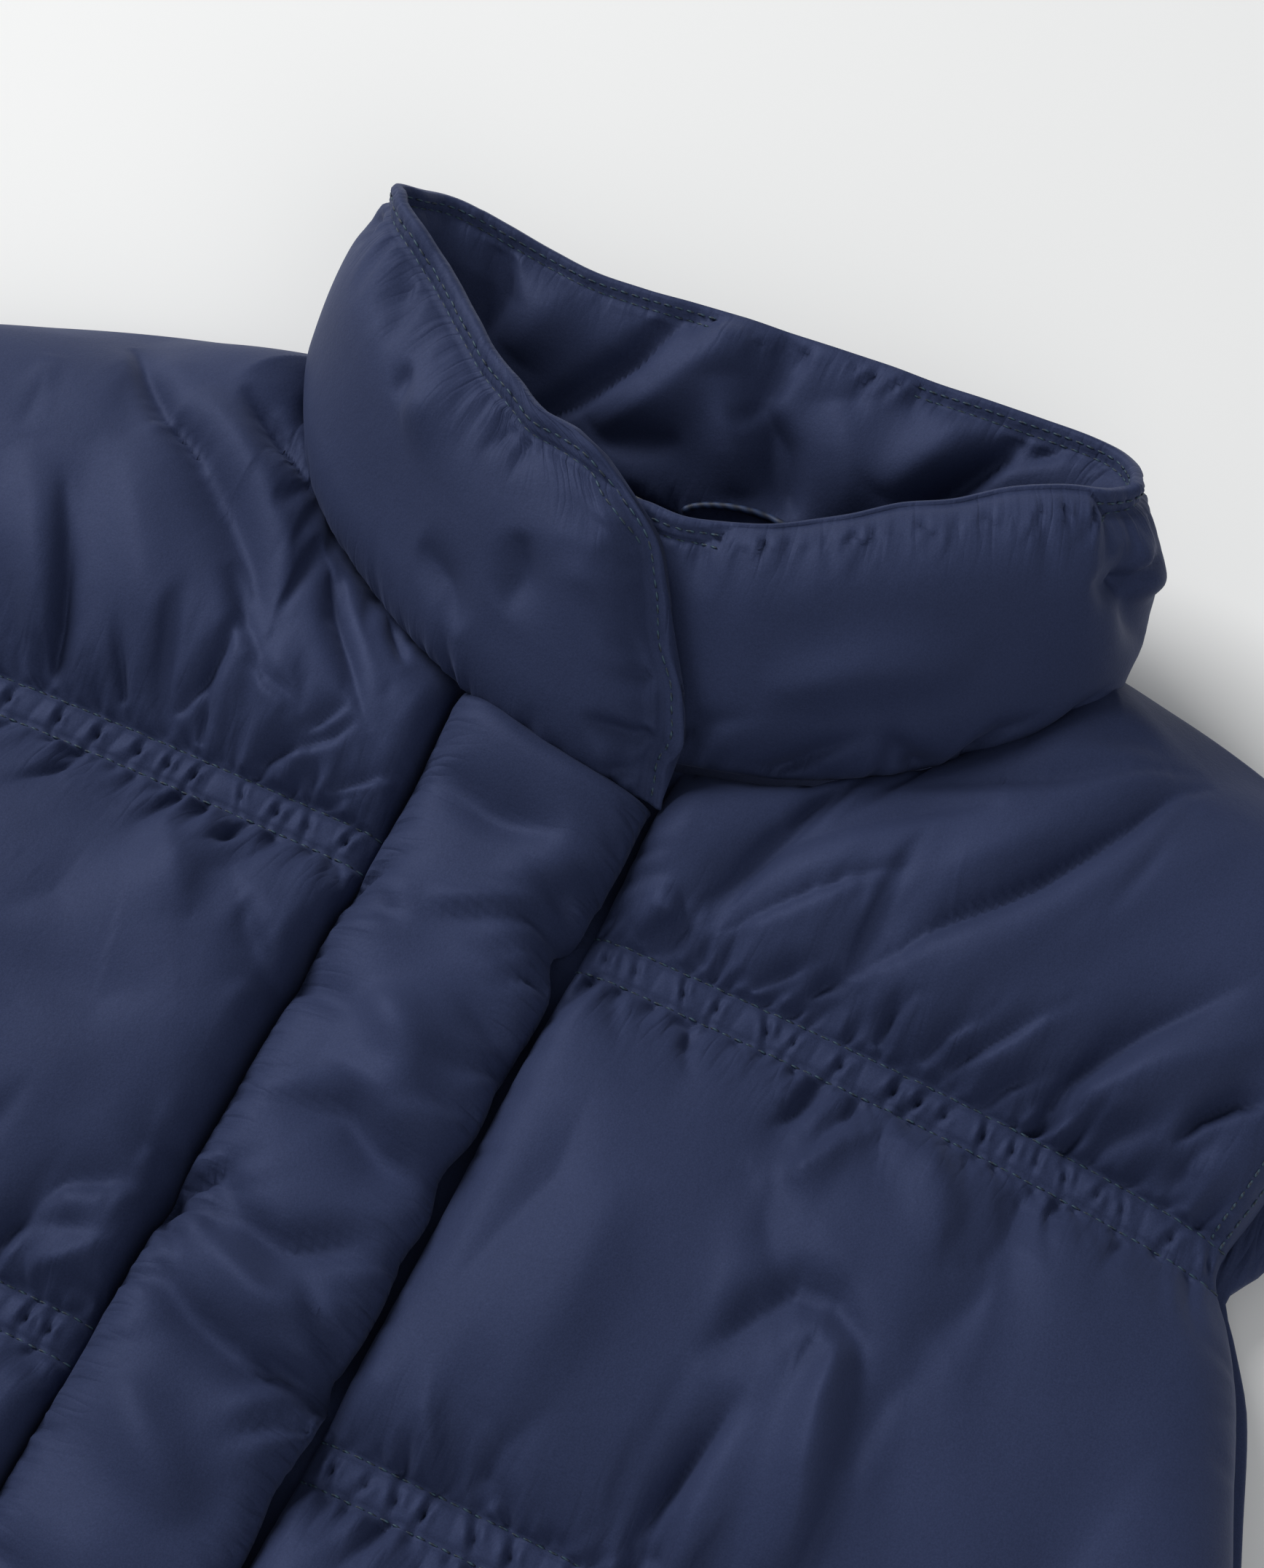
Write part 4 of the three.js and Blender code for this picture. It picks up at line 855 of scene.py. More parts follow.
placketFolds = [
    [-4.5, 4, 0.3, 1, 30, -31, 17, -42, -5, -51, -12, -58],
    [3, 5, 0, 0, 28, -40, 14, -46, -8, -56],
    [-4, 4, 0.3, 1, 30, -40, 14, -49, -6, -60, -16, -64],
    [-3, 4, 0, 1, 30, -84, 12, -74, 0, -71],
    [-3.5, 5, 0.3, 0, 31, -110, 23, -115, 12, -117, 1, -110, -18, -116],
    [3, 5, 0, 0, 28, -104, 10, -106, -10, -100],
    [-4, 5, 0.3, 0, 26, -131, 15, -136, 3, -145, -10, -142, -21, -132],
    [-5, 5, 0.3, 0, 30, -162, 21, -168, 9, -170, -8, -166, -24, -157],
    [3, 5, 0, 0, 24, -154, 6, -158, -14, -150],
    [-3, 5, 0, 0, -24, -24, -4, -30, 14, -28],
    [-3, 5, 0, 1, -28, -84, -12, -88, 2, -96],
    [-4, 6, 0.3, 0, -26, -226, -4, -236, 16, -242, 27, -236],
    [-3.5, 6, 0, 0, -20, -284, 4, -278, 28, -270],
    [-4, 6, 0.3, 0, -26, -318, -2, -328, 24, -338],
    [-3, 5, 0, 1, 28, -352, 8, -356, -8, -348],
    [-4, 6, 0.3, 0, -24, -396, 2, -390, 28, -378],
    [-3, 6, 0, 0, -24, -430, 0, -424, 22, -432],
    [-4, 2.5, 0.2, 1, 29, -50, 20, -42, 6, -36],
    [-4, 2.5, 0.2, 1, 29, -51, 16, -48, 2, -50],
    [-3.5, 2.5, 0.2, 1, 28, -53, 18, -56, 8, -63],
    [-3.5, 2.5, 0.2, 1, 28, -55, 20, -63, 14, -71],
    [-3.5, 2.5, 0.2, 1, -30, -58, -20, -48, -9, -42],
    [-3.5, 2.5, 0.2, 1, -30, -60, -18, -60, -8, -66],
    [-4, 2.5, 0.2, 1, -27, -142, -17, -133, -8, -126],
    [-4, 2.5, 0.2, 1, -27, -144, -16, -144, -5, -150],
    [-3.5, 2.5, 0.2, 1, -28, -147, -18, -154, -12, -163],
    [-4, 2.5, 0.2, 1, 29, -163, 18, -156, 8, -146],
    [-4, 2.5, 0.2, 1, 29, -165, 14, -169, 2, -178],
    [-3.5, 3, 0.2, 1, 28, -167, 18, -178, 12, -190],
    [4, 9, 0, 0, -8, -82, 6, -92, 12, -104],
    [4, 9, 0, 0, -14, -184, 0, -196, 14, -206],
]


def makePlacket(neckSamples):
    plan = placketPlan
    across, up = placketSection["across"], placketSection["up"]
    section = np.stack([across, up, np.zeros_like(up)], 1)
    ring = closedCurve(section, plan["perSpan"])[:-1]
    run = np.linspace(0, len(ring), plan["ring"], endpoint=False)
    stops = np.arange(len(ring) + 1)
    across, up = (np.interp(run, stops, np.append(ring[:, k], ring[0, k])) for k in (0, 1))
    across, up = np.clip(across, 0, 1)[None, :], np.clip(up, 0, 1)[None, :]
    ends = np.array(plan["ends"])
    middle = np.linspace(plan["rowsIn"], plan["length"] - plan["rowsIn"], plan["rows"])
    d = np.concatenate([ends, middle, plan["length"] - ends[::-1]])[:, None]
    baseY = placketTop["y"][0] - d
    pinch = np.zeros_like(baseY)
    for y, by, over in zip(*placketPinches.values()):
        pinch = pinch + by * np.exp(-((baseY - y) / over) ** 2)
    x = plan["left"] + across * (plan["right"] - plan["left"] - pinch * across)
    topY = readTable(placketTop, "across", "y", across)
    y = baseY + (topY - placketTop["y"][0]) * np.maximum(1 - d / plan["topEase"], 0)
    fade = smooth(1 - nearest(np.stack([x, y], -1), neckSamples) / neckRise["reach"])
    lift = max(neckSeam["z"][0] - neckRise["sewnDepth"] - wall["rest"], 0) * fade
    under = wall["rest"] + wall["edge"] + plan["clearance"] + lift
    full = crown(d + plan["endIn"], plan["topReach"])
    full = full * crown(plan["length"] - d + plan["endIn"], reach["hem"])
    thick = plan["endThickness"] + (plan["thickness"] - plan["endThickness"]) * full
    down = np.linspace(-6, hemY, 300)
    seamLine = np.stack([np.full(300, plan["left"] + plan["seamIn"]), down], 1)
    edgeLine = np.stack([np.full(300, plan["right"] - plan["seamIn"]), down], 1)
    rows = rowPuckers(71, seamLine, (1, 0), plan["spacing"], longest=26, lean=14, deep=4.2)
    rows += rowPuckers(72, edgeLine, (-1, 0), plan["spacing"], longest=24, lean=12, deep=4.0)
    broad = plan["lumpHeight"] * lumps(73, x, y, plan["lumpSize"])
    folds = plan["foldScale"] * foldHeight(placketFolds, x, y) + puckerHeight(rows, x, y) + broad
    folds = folds * full * np.minimum(up * 2, 1)
    points = np.stack([x, y, under + up * thick + folds], -1)
    faces = tubeFaces(*points.shape[:2])
    piece = newObject("placket_cloth", points.reshape(-1, 3), [face[::-1] for face in faces])
    fromRim = np.minimum(x - plan["left"], plan["right"] - x)
    gather = np.exp(-fromRim / gathered["placket"])
    mapCloth(piece, y.reshape(-1), x.reshape(-1), gather.reshape(-1))
    return piece


# The collar: two faces over a middle layer, sewn at the foot and topstitched near its upper edge.
# Its folds, puckers and stitches are placed on a round of this many mm.
collarRound = 486.0
collarPlan = dict(
    columns=420, outer=64, inner=44, height=62.0, edge=1.7, stitch=(3.0, 5.8), innerPuff=5.0,
    rowEase=0.05, follow=0.8, tangentStep=0.006, lapDeep=6, hideEase=9, hideBy=0.85,
    footPuff=0.2, footReach=(17, 14), edgeReach=(15, 12), footIn=0.6, roundShare=0.6,
    slopeShare=0.4, slopeReach=1.3, slack=0.3, slackByLap=0.7, foldScale=1.3, lumpSize=24,
    startReach=9, clear=4, smallClear=1.2, grooves=(0.4, 0.35), grooveWidth=0.6, rim=0.35,
    rimRound=0.75, rimReach=2.2, rimIn=0.3, footRow=0.5, endRise=(4, 54), bandMiddle=4.2,
)
# Round the neck: height, middle and reach, in mm.
fullFoot = (10, 134, 22)
slowTop = [(26, 352, 20), (14, 130, 24)]
collarBand = dict(height=0.75, spacing=(2.6, 7), flat=0.5, least=0.4, more=0.6, ease=1.2, rim=1.5)
# The loose upper edge waves in and out and sags a little.
looseEdge = dict(
    above=0.7, notch=(3.4, 455, 8), wave=1.1, waveSize=10, swell=1.4, swellFrom=395, swellTo=500,
    swellEase=30, sag=0.9, sagSize=12, notchSag=0.4,
)
collarRows = table("at x y z puff over drop", [
    [-0.035, -14, 48, 65, 3, 0, 0], [0.02, 8, 47, 66, 4, 0, 0], [0.07, 30, 54, 68, 11, 0, 0],
    [0.125, 54, 71, 69, 14, 0, 0], [0.18, 79, 89, 69, 15, 0, 0], [0.235, 97, 98, 67, 15, 0, 0],
    [0.285, 101, 107, 61, 11, 0, 0], [0.33, 90, 121, 50, 9, 0, 0], [0.41, 48, 123, 46, 9, 0, 0],
    [0.5, 0, 121, 45, 9, 0, 0], [0.59, -48, 117, 45, 9, 0, 0], [0.67, -88, 118, 50, 9, 0, 0],
    [0.715, -98, 107, 63, 10, 0, 0], [0.765, -92, 97, 71, 12, 0, 0], [0.82, -74, 84, 73, 15, 0, 0],
    [0.875, -54, 68, 74, 14, 1, 0], [0.93, -34, 57, 75, 13, 6, 0], [0.975, -13, 51, 76, 12, 9, 0],
    [1.02, 7, 46, 76, 12, 9.5, 2], [1.06, 29, 38, 75, 11, 11, 8],
])
lapEnd = dict(slant=0.024, corner=0.075, cornerFrom=0.3, over=0.2, wave=0.0062, waveSize=8.5)
# Folds of the collar's faces, in mm round the neck and up the collar.
outerFolds = [
    [-3.5, 4, 0.3, 0, 352, 50, 360, 52, 370, 50],
    [-5.5, 2.6, 0.3, 1, 456, 61, 447, 56, 436, 53],
    [-5, 2.6, 0.3, 1, 455, 60, 450, 54, 446, 46],
    [-4, 2.6, 0.2, 1, 457, 60, 456, 54, 458, 46],
    [3, 7, 0, 0, 430, 56, 428, 48, 420, 40],
    [-1.8, 3, 0.2, 0, 416, 48, 416, 45, 415, 41],
    [-4, 5, 0.3, 1, 390, 60, 396, 52, 410, 46],
    [-3, 5, 0.2, 0, 440, 22, 452, 20, 460, 14],
    [-4, 2.4, 0.2, 1, 507, 40, 500, 37, 490, 37],
    [-4.5, 2.4, 0.2, 1, 509, 35, 500, 31, 490, 30],
    [-4, 2.4, 0.2, 1, 510, 31, 502, 26, 492, 23],
    [-3.5, 3, 0.2, 0, 514, 13, 504, 14, 492, 13],
    [-3.5, 2.6, 0.2, 1, 514, 9, 506, 6, 494, 3],
    [-3, 5, 0, 0, 466, 40, 470, 32, 468, 24],
    [-4.5, 5, 0.3, 0, 112, 50, 117, 42, 126, 30, 134, 20],
    [-3.5, 3, 0.2, 0, 106, 46, 112, 42, 122, 40],
    [-3, 3, 0.2, 1, 128, 46, 122, 43, 112, 43],
    [3, 6, 0, 0, 122, 52, 128, 44, 136, 36],
    [-4, 2.8, 0.2, 1, 50, 1, 57, 8, 68, 14],
    [-4, 2.8, 0.2, 1, 84, 1, 76, 8, 66, 15],
    [-3.5, 2.8, 0.2, 1, 93, 1, 97, 9, 106, 15],
    [-3.5, 3, 0.2, 1, 110, 2, 115, 11, 124, 18],
    [-3, 4, 0.2, 1, 20, 2, 28, 12, 44, 18],
    [3, 8, 0, 0, 40, 24, 60, 28, 84, 26],
    [-3, 7, 0.2, 0, 170, 10, 176, 26, 170, 46],
    [-3, 7, 0.2, 0, 226, 12, 232, 30, 224, 48],
    [-3, 7, 0.2, 0, 286, 12, 280, 28, 290, 46],
]
# Where the padding swells over the stitching, for each face: from and to, in mm round the neck.
hidden = {1: (16, 112), -1: (203, 262)}
innerFolds = [
    [-9, 2.6, 0.5, 0, 262, 70, 265, 56, 272, 38, 282, 22, 296, 4],
    [6, 9, 0, 0, 250, 64, 254, 50, 262, 34, 276, 14],
    [-4, 4, 0.3, 0, 240, 68, 237, 55, 239, 42, 243, 30],
    [-6, 6, 0.3, 0, 240, 40, 231, 28, 222, 10],
    [4, 8, 0, 0, 250, 44, 243, 28, 236, 12],
    [4, 9, 0, 0, 222, 48, 214, 32, 208, 14],
    [-3, 5, 0, 0, 276, 10, 266, 16, 254, 22],
    [-6, 3.2, 0.4, 0, 179, 64, 182, 46, 190, 28, 196, 12],
    [4, 8, 0, 0, 192, 60, 196, 44, 204, 26],
    [-6, 3, 0.4, 1, 166, 62, 174, 52, 184, 42],
    [-6.5, 5, 0.3, 0, 313, 62, 309, 42, 317, 16],
    [3.5, 9, 0, 0, 292, 58, 296, 42, 302, 24],
]


def collarTop(at):
    return np.stack([readTable(collarRows, "at", key, at) for key in "xyz"], -1)


def collarFrame(at, up):
    step = collarPlan["tangentStep"]
    foot, top = neckPoint(at), collarTop(at)
    tangent = neckPoint(at + step) - neckPoint(at - step)
    tangentTop = collarTop(at + step) - collarTop(at - step)
    tangent = tangent + (tangentTop - tangent) * up[..., None] * collarPlan["follow"]
    out = np.cross(tangent, top - foot)
    out /= np.linalg.norm(out, axis=-1, keepdims=True)
    foot = foot + out * readTable(collarRows, "at", "over", at)[..., None]
    foot[..., 1] -= readTable(collarRows, "at", "drop", at)
    return foot + (top - foot) * up[..., None], out


def hump(run, height, middle, over):
    return height * np.exp(-((run - middle) / over) ** 2)


# How far the lapping end's round upper corner steps back, as a share of the neck's length.
def cornerStep(up):
    turn = crown(1 - up, 1 - lapEnd["cornerFrom"])
    return np.where(up > lapEnd["cornerFrom"], lapEnd["corner"] * (1 - turn), 0)


# Puckers from the stitching, the foot and the lapping end, for the outer and the inner face.
def collarPuckers(seed, often):
    plan = collarPlan
    run = np.linspace(collarRows["at"][0], collarRows["at"][-1], 300) * collarRound
    level = np.ones_like(run)
    stitching = np.stack([run, level * (plan["height"] - plan["stitch"][1])], 1)
    rows = rowPuckers(seed, stitching, (0, -1), often, longest=17, lean=0, deep=2.2)
    foot = np.stack([run, level * plan["footRow"]], 1)
    rows += rowPuckers(seed + 1, foot, (0, 1), often, longest=19, lean=0, deep=2.4)
    rise = np.linspace(*plan["endRise"], 60)
    back = lapEnd["slant"] * rise / plan["height"] + cornerStep(rise / plan["height"])
    end = run[-1] - back * collarRound - plan["stitch"][1]
    lapping = np.stack([end, rise], 1)
    rows += rowPuckers(seed + 2, lapping, (-1, 0), (3, 9), longest=26, lean=-12, deep=3.4)
    middle = np.stack([run, level * (plan["height"] - plan["bandMiddle"])], 1)
    return rows + crossing(seed + 3, middle, (4, 13), across=2.5, longest=9, deep=1.6)


collarRowsOfPuckers = {1: collarPuckers(31, (3.5, 15)), -1: collarPuckers(47, (10, 30))}


def collarOffset(at, up, face, toEnd=1e3):
    plan, side = collarPlan, 0 if face > 0 else 1
    lap = np.maximum(1 - readTable(collarRows, "at", "over", at) / plan["lapDeep"], 0)
    run, rise = at * collarRound, up * plan["height"]
    fuller = hump(run, *fullFoot)
    if face > 0:
        puff = readTable(collarRows, "at", "puff", at) + plan["footPuff"] * fuller
        edgeReach = plan["edgeReach"][side] + (hump(run, *slowTop[0]) + hump(run, *slowTop[1]))
        footReach = plan["footReach"][side] - fuller
        slack = 1
    else:
        puff = plan["innerPuff"] * lap
        edgeReach, footReach = plan["edgeReach"][side], plan["footReach"][side]
        slack = plan["slack"] + plan["slackByLap"] * lap
    fromEdge = np.minimum(plan["height"] - rise, toEnd)
    hideFrom, hideTo = hidden[face]
    hide = smooth((run - hideFrom) / plan["hideEase"]) * smooth((hideTo - run) / plan["hideEase"])
    fromStitch = fromEdge - plan["stitch"][1] * (1 - plan["hideBy"] * hide)
    byEdge = plan["roundShare"] * crown(fromStitch, edgeReach)
    byEdge = byEdge + plan["slopeShare"] * slope(fromStitch, plan["slopeReach"] * edgeReach)
    filled = crown(rise + plan["footIn"], footReach) * byEdge
    folds = plan["foldScale"] * foldHeight(outerFolds if face > 0 else innerFolds, run, rise)
    folds = folds + plan["foldScale"] * lumps(5 + int(face), run, rise, plan["lumpSize"])
    start = crown(run - collarRows["at"][0] * collarRound + 1, plan["startReach"])
    inside = within(fromStitch, plan["clear"]) * within(rise, plan["clear"])
    small = puckerHeight(collarRowsOfPuckers[face], run, rise)
    small = small * within(fromStitch, plan["smallClear"]) * within(rise, plan["smallClear"])
    rowGap = plan["stitch"][1] - plan["stitch"][0]
    groove = plan["grooves"][0] * np.exp(-((fromStitch / plan["grooveWidth"]) ** 2))
    groove = groove + plan["grooves"][1] * np.exp(-(((fromStitch + rowGap) / plan["grooveWidth"]) ** 2))
    fine, chance = gatherRipple(61, collarBand["spacing"], run + rise, collarBand["flat"])
    edgeBand = collarBand["height"] * fine * (collarBand["least"] + collarBand["more"] * chance)
    edgeBand = edgeBand * within(-fromStitch, collarBand["ease"])
    edgeBand = edgeBand * within(fromStitch + plan["stitch"][1], collarBand["rim"])
    rim = plan["rim"] + plan["rimRound"] * (1 - crown(fromEdge + plan["rimIn"], plan["rimReach"]))
    swell = np.maximum((puff * filled + folds * inside * slack + small * slack) * start, 0)
    return plan["edge"] - rim + swell - groove + edgeBand


def collarPoint(place, up, face):
    last = collarRows["at"][-1]
    near = smooth((place - last + lapEnd["over"]) / lapEnd["over"])
    wave = lapEnd["wave"] * lumps(84, up * collarPlan["height"], np.zeros_like(up), lapEnd["waveSize"])
    at = place - near * (lapEnd["slant"] * up + cornerStep(up) - wave)
    middle, out = collarFrame(at, up)
    run, edge = at * collarRound, looseEdge
    level = np.zeros_like(run)
    loose = smooth((up - edge["above"]) / (1 - edge["above"]))
    notch = hump(run, *edge["notch"])
    swell = edge["swell"] * smooth((run - edge["swellFrom"]) / edge["swellEase"])
    swell = swell * smooth((edge["swellTo"] - run) / edge["swellEase"])
    wobble = edge["wave"] * lumps(81, run, level, edge["waveSize"]) + swell + notch
    middle = middle + out * (wobble * loose)[..., None]
    sag = edge["sag"] * lumps(82, run, level, edge["sagSize"]) - edge["notchSag"] * notch
    middle[..., 2] += sag * loose
    return middle + out * (face * collarOffset(at, up, face, (last - place) * collarRound))[..., None]


def makeCollar():
    plan = collarPlan
    at = np.linspace(collarRows["at"][0], collarRows["at"][-1], plan["columns"])
    ease = np.linspace(0, 1, plan["outer"])
    upOuter = ease - plan["rowEase"] * np.sin(2 * math.pi * ease)
    upInner = np.linspace(1, 0, plan["inner"])
    outer = collarPoint(*np.meshgrid(at, upOuter, indexing="ij"), 1)
    inner = collarPoint(*np.meshgrid(at, upInner, indexing="ij"), -1)
    points = np.concatenate([outer, inner], axis=1)
    rows, cols = points.shape[:2]
    faces = tubeFaces(rows, cols)
    piece = newObject("collar_cloth", points.reshape(-1, 3), [face[::-1] for face in faces])
    run = np.repeat(at * neckLength, cols)
    rise = np.tile(np.concatenate([upOuter, upInner]) * plan["height"], rows)
    fromRow = np.minimum(rise, np.abs(plan["height"] - plan["stitch"][1] - rise))
    fromSewn = np.maximum(np.minimum(fromRow, run[-1] - run), 0)
    mapCloth(piece, run, rise, gathered["collarShare"] * np.exp(-fromSewn / gathered["collar"]))
    return piece


# The back: flat where it rests, with a shallow groove under each channel, and soft round edges.
backPlan = dict(
    rows=150, columns=120, sideEase=1.5, rowEase=0.06, underReach=15.0, armholeReach=8.0,
    armholeDrop=3.0, easeFrom=-38.0, neckFrom=0.303, seamGap=0.7, rim=4, groove=1.3, grooveWidth=5,
    grooveLeast=0.6, grooveMore=0.4, ripple=2.2, rippleReach=30, rippleFrom=(-260, -480),
)


def backTop(side):
    plan = backPlan
    x = np.abs(side) * (shoulderTip["x"] + 1)
    at = np.linspace(plan["neckFrom"], 0.5, 200)
    seam = besideNeck(at, -(neckRise["collarEdge"] + plan["seamGap"]))
    cornerIn = neckRise["collarEdge"] + neckRise["gap"]
    corner = besideNeck(np.array([plan["neckFrom"]]), -cornerIn)[0]
    neckX = besideNeck(at, 0)[:, 0]
    order = np.argsort(neckX)
    onNeck = np.minimum(np.interp(x, neckX[order], seam[order, 1]), corner[1])
    t = within(x - corner[0], shoulderTip["x"] - corner[0])
    bow = np.where(side > 0, frontCuts["front_left"]["bow"], frontCuts["front_right"]["bow"])
    onShoulder = corner[1] + (shoulderTip["y"] - corner[1]) * t + bow * np.sin(math.pi * t)
    return np.where(x < corner[0], onNeck, onShoulder)


def makeBack():
    plan = backPlan
    t = np.linspace(-1, 1, plan["columns"] + 1)
    share = np.sign(t) * (1 - (1 - np.abs(t)) ** plan["sideEase"])
    u = np.linspace(0, 1, plan["rows"] + 1)
    u = u - plan["rowEase"] * np.sin(2 * math.pi * u)
    rowY = shoulderTip["y"] + (hemY - shoulderTip["y"]) * u
    share, rowY = np.meshgrid(share, rowY)
    shows = readTable(backShows, "y", "by", rowY)
    half = sideX(rowY) + shows
    raised = np.maximum(backTop(share) - shoulderTip["y"], 0)
    fade = within(rowY - plan["easeFrom"], shoulderTip["y"] - plan["easeFrom"])
    hemShare = within(channels["ys"][2] - rowY, channels["ys"][2] - hemY)
    x = share * half
    y = rowY + raised * fade + hemRise * np.abs(share) ** 3 * hemShare
    fromSide = (1 - np.abs(share)) * half
    fromTop = shoulderTip["y"] + raised - y
    fromEdge = np.minimum(np.minimum(fromSide, fromTop), rowY - hemY)
    turned = 1 - crown(fromEdge, plan["underReach"])
    toChannel = np.min([np.abs(rowY - middle) for middle in channels["ys"]], axis=0)
    ripple, _ = gatherRipple(91, (5, 10), x - plan["rippleFrom"][0])
    sideRipple, _ = gatherRipple(95, (7, 16), y - plan["rippleFrom"][1])
    most = wall["back"] - plan["rim"]
    groove = plan["groove"] * np.exp(-((toChannel / plan["grooveWidth"]) ** 2))
    lift = most * turned + groove * (plan["grooveLeast"] + plan["grooveMore"] * ripple)
    waves = turned * (1 - turned) * plan["ripple"] * (sideRipple - 0.5)
    lift += waves * np.exp(-toChannel / plan["rippleReach"])
    lift = np.where(fromEdge < 0.01, most, np.clip(lift, 0, most))
    drop = plan["armholeDrop"] * shows / plan["armholeReach"]
    drop = drop * (1 - crown(fromSide, plan["armholeReach"]))
    top = np.stack([x, y, wall["back"] - drop], -1)[:, ::-1]
    under = np.stack([x, y, lift], -1)[:, ::-1]
    rows, cols = top.shape[:2]
    count = rows * cols
    faces = gridFaces(rows, cols).tolist() + (gridFaces(rows, cols, flip=True) + count).tolist()
    rim = [r * cols + c for r, c in rimLoop(rows, cols)]
    faces += [[a, b, b + count, a + count] for a, b in zip(rim, rim[1:] + rim[:1])]
    points = np.concatenate([top.reshape(-1, 3), under.reshape(-1, 3)])
    piece = newObject("back_cloth", points, [face[::-1] for face in faces])
    beside = np.exp(-toChannel[:, ::-1].reshape(-1) / gathered["reach"])
    mapCloth(piece, points[:, 0], points[:, 1], np.tile(beside, 2))
    return piece


# The hanger loop: a thin round cord sewn into the neck seam, lying on the collar's inner face.
loopPlan = dict(
    middle=0.4715, span=0.077, foot=0.03, rise=0.12, bend=0.6, radius=0.9, gap=0.3, steps=60, sides=12,
)


def makeLoop():
    plan = loopPlan
    t = np.linspace(0, 1, plan["steps"])
    at = plan["middle"] + (t - 0.5) * plan["span"]
    up = plan["foot"] + plan["rise"] * np.sin(math.pi * t) ** plan["bend"]
    middle, out = collarFrame(at, up)
    route = middle - out * (collarOffset(at, up, -1) + plan["radius"] + plan["gap"])[:, None]
    tangent = np.gradient(route, axis=0)
    tangent /= np.linalg.norm(tangent, axis=1, keepdims=True)
    side = np.cross(tangent, out)
    side /= np.linalg.norm(side, axis=1, keepdims=True)
    other = np.cross(side, tangent)
    turn = np.linspace(0, 2 * math.pi, plan["sides"], endpoint=False)
    ring = np.cos(turn)[None, :, None] * side[:, None] + np.sin(turn)[None, :, None] * other[:, None]
    points = route[:, None] + ring * plan["radius"]
    return newObject("hanger_loop_cord", points.reshape(-1, 3), tubeFaces(*points.shape[:2]))


say("fronts")
fronts = {}
for frontName in frontCuts:
    fronts[frontName] = makeFront(frontName)
say("placket")
placketPiece = makePlacket(frontTop(frontCuts["front_left"])[0])
say("collar, back and loop")
collarPiece = makeCollar()
backPiece = makeBack()
loopPiece = makeLoop()


# Outward faces, whichever way a grid was built.
def faceOutwards(piece):
    work = bmesh.new()
    work.from_mesh(piece.data)
    bmesh.ops.recalc_face_normals(work, faces=work.faces)
    work.to_mesh(piece.data)
    work.free()


for piece in (placketPiece, collarPiece, backPiece, loopPiece):
    faceOutwards(piece)
for piece, *_ in fronts.values():
    faceOutwards(piece)


# Stitches follow a row of points on the cloth: one thread ellipsoid at each pitch. Metres here.
stitchPlan = dict(pitch=0.003, length=0.0024, radius=0.00033, segments=6, rings=4)


def stitchGroup():
    tree = bpy.data.node_groups.new("stitches", "GeometryNodeTree")
    face = tree.interface
    face.new_socket("Path", in_out="INPUT", socket_type="NodeSocketGeometry")
    for key in ("pitch", "length", "radius"):
        socket = face.new_socket(key.capitalize(), in_out="INPUT", socket_type="NodeSocketFloat")
        socket.default_value = stitchPlan[key]
    face.new_socket("Thread", in_out="INPUT", socket_type="NodeSocketMaterial")
    face.new_socket("Stitches", in_out="OUTPUT", socket_type="NodeSocketGeometry")
    kinds = dict(
        inputs="NodeGroupInput", outputs="NodeGroupOutput", toCurve="GeometryNodeMeshToCurve",
        resample="GeometryNodeResampleCurve", tangent="GeometryNodeInputTangent",
        align="FunctionNodeAlignRotationToVector", ball="GeometryNodeMeshUVSphere",
        size="ShaderNodeCombineXYZ", half="ShaderNodeMath", place="GeometryNodeInstanceOnPoints",
        realize="GeometryNodeRealizeInstances", shade="GeometryNodeSetShadeSmooth",
        paint="GeometryNodeSetMaterial",
    )
    nodes = {name: tree.nodes.new(kind) for name, kind in kinds.items()}
    nodes["resample"].mode = "LENGTH"
    nodes["align"].axis = "Z"
    nodes["half"].operation = "MULTIPLY"
    nodes["half"].inputs[1].default_value = 0.5
    ball = nodes["ball"].inputs
    ball["Segments"].default_value = stitchPlan["segments"]
    ball["Rings"].default_value = stitchPlan["rings"]
    ball["Radius"].default_value = 1.0
    links = [
        ("inputs", "Path", "toCurve", "Mesh"), ("toCurve", "Curve", "resample", "Curve"),
        ("inputs", "Pitch", "resample", "Length"), ("tangent", "Tangent", "align", "Vector"),
        ("inputs", "Length", "half", 0), ("inputs", "Radius", "size", "X"),
        ("inputs", "Radius", "size", "Y"), ("half", 0, "size", "Z"),
        ("resample", "Curve", "place", "Points"), ("ball", "Mesh", "place", "Instance"),
        ("align", "Rotation", "place", "Rotation"), ("size", "Vector", "place", "Scale"),
        ("place", "Instances", "realize", "Geometry"), ("realize", "Geometry", "shade", "Geometry"),
        ("shade", "Geometry", "paint", "Geometry"), ("inputs", "Thread", "paint", "Material"),
        ("paint", "Geometry", "outputs", "Stitches"),
    ]
    for start, output, end, socket in links:
        tree.links.new(nodes[start].outputs[output], nodes[end].inputs[socket])
    return tree


def linear(hexColour):
    parts = [int(hexColour[k:k + 2], 16) / 255 for k in (0, 2, 4)]
    return [p / 12.92 if p <= 0.04045 else ((p + 0.055) / 1.055) ** 2.4 for p in parts] + [1.0]


def newMaterial(name):
    material = bpy.data.materials.new(name)
    material.use_nodes = True
    material.node_tree.nodes.clear()
    return material


def addNode(material, kind, **values):
    node = material.node_tree.nodes.new(kind)
    for key, value in values.items():
        if key in node.inputs:
            node.inputs[key].default_value = value
        else:
            setattr(node, key, value)
    return node


def mathNode(material, operation, value=None):
    node = addNode(material, "ShaderNodeMath", operation=operation)
    if value is not None:
        node.inputs[1].default_value = value
    return node


# Each link names a node and its output, then a node and its input.
def joinAll(material, links):
    for start, output, end, socket in links:
        material.node_tree.links.new(start.outputs[output], end.inputs[socket])


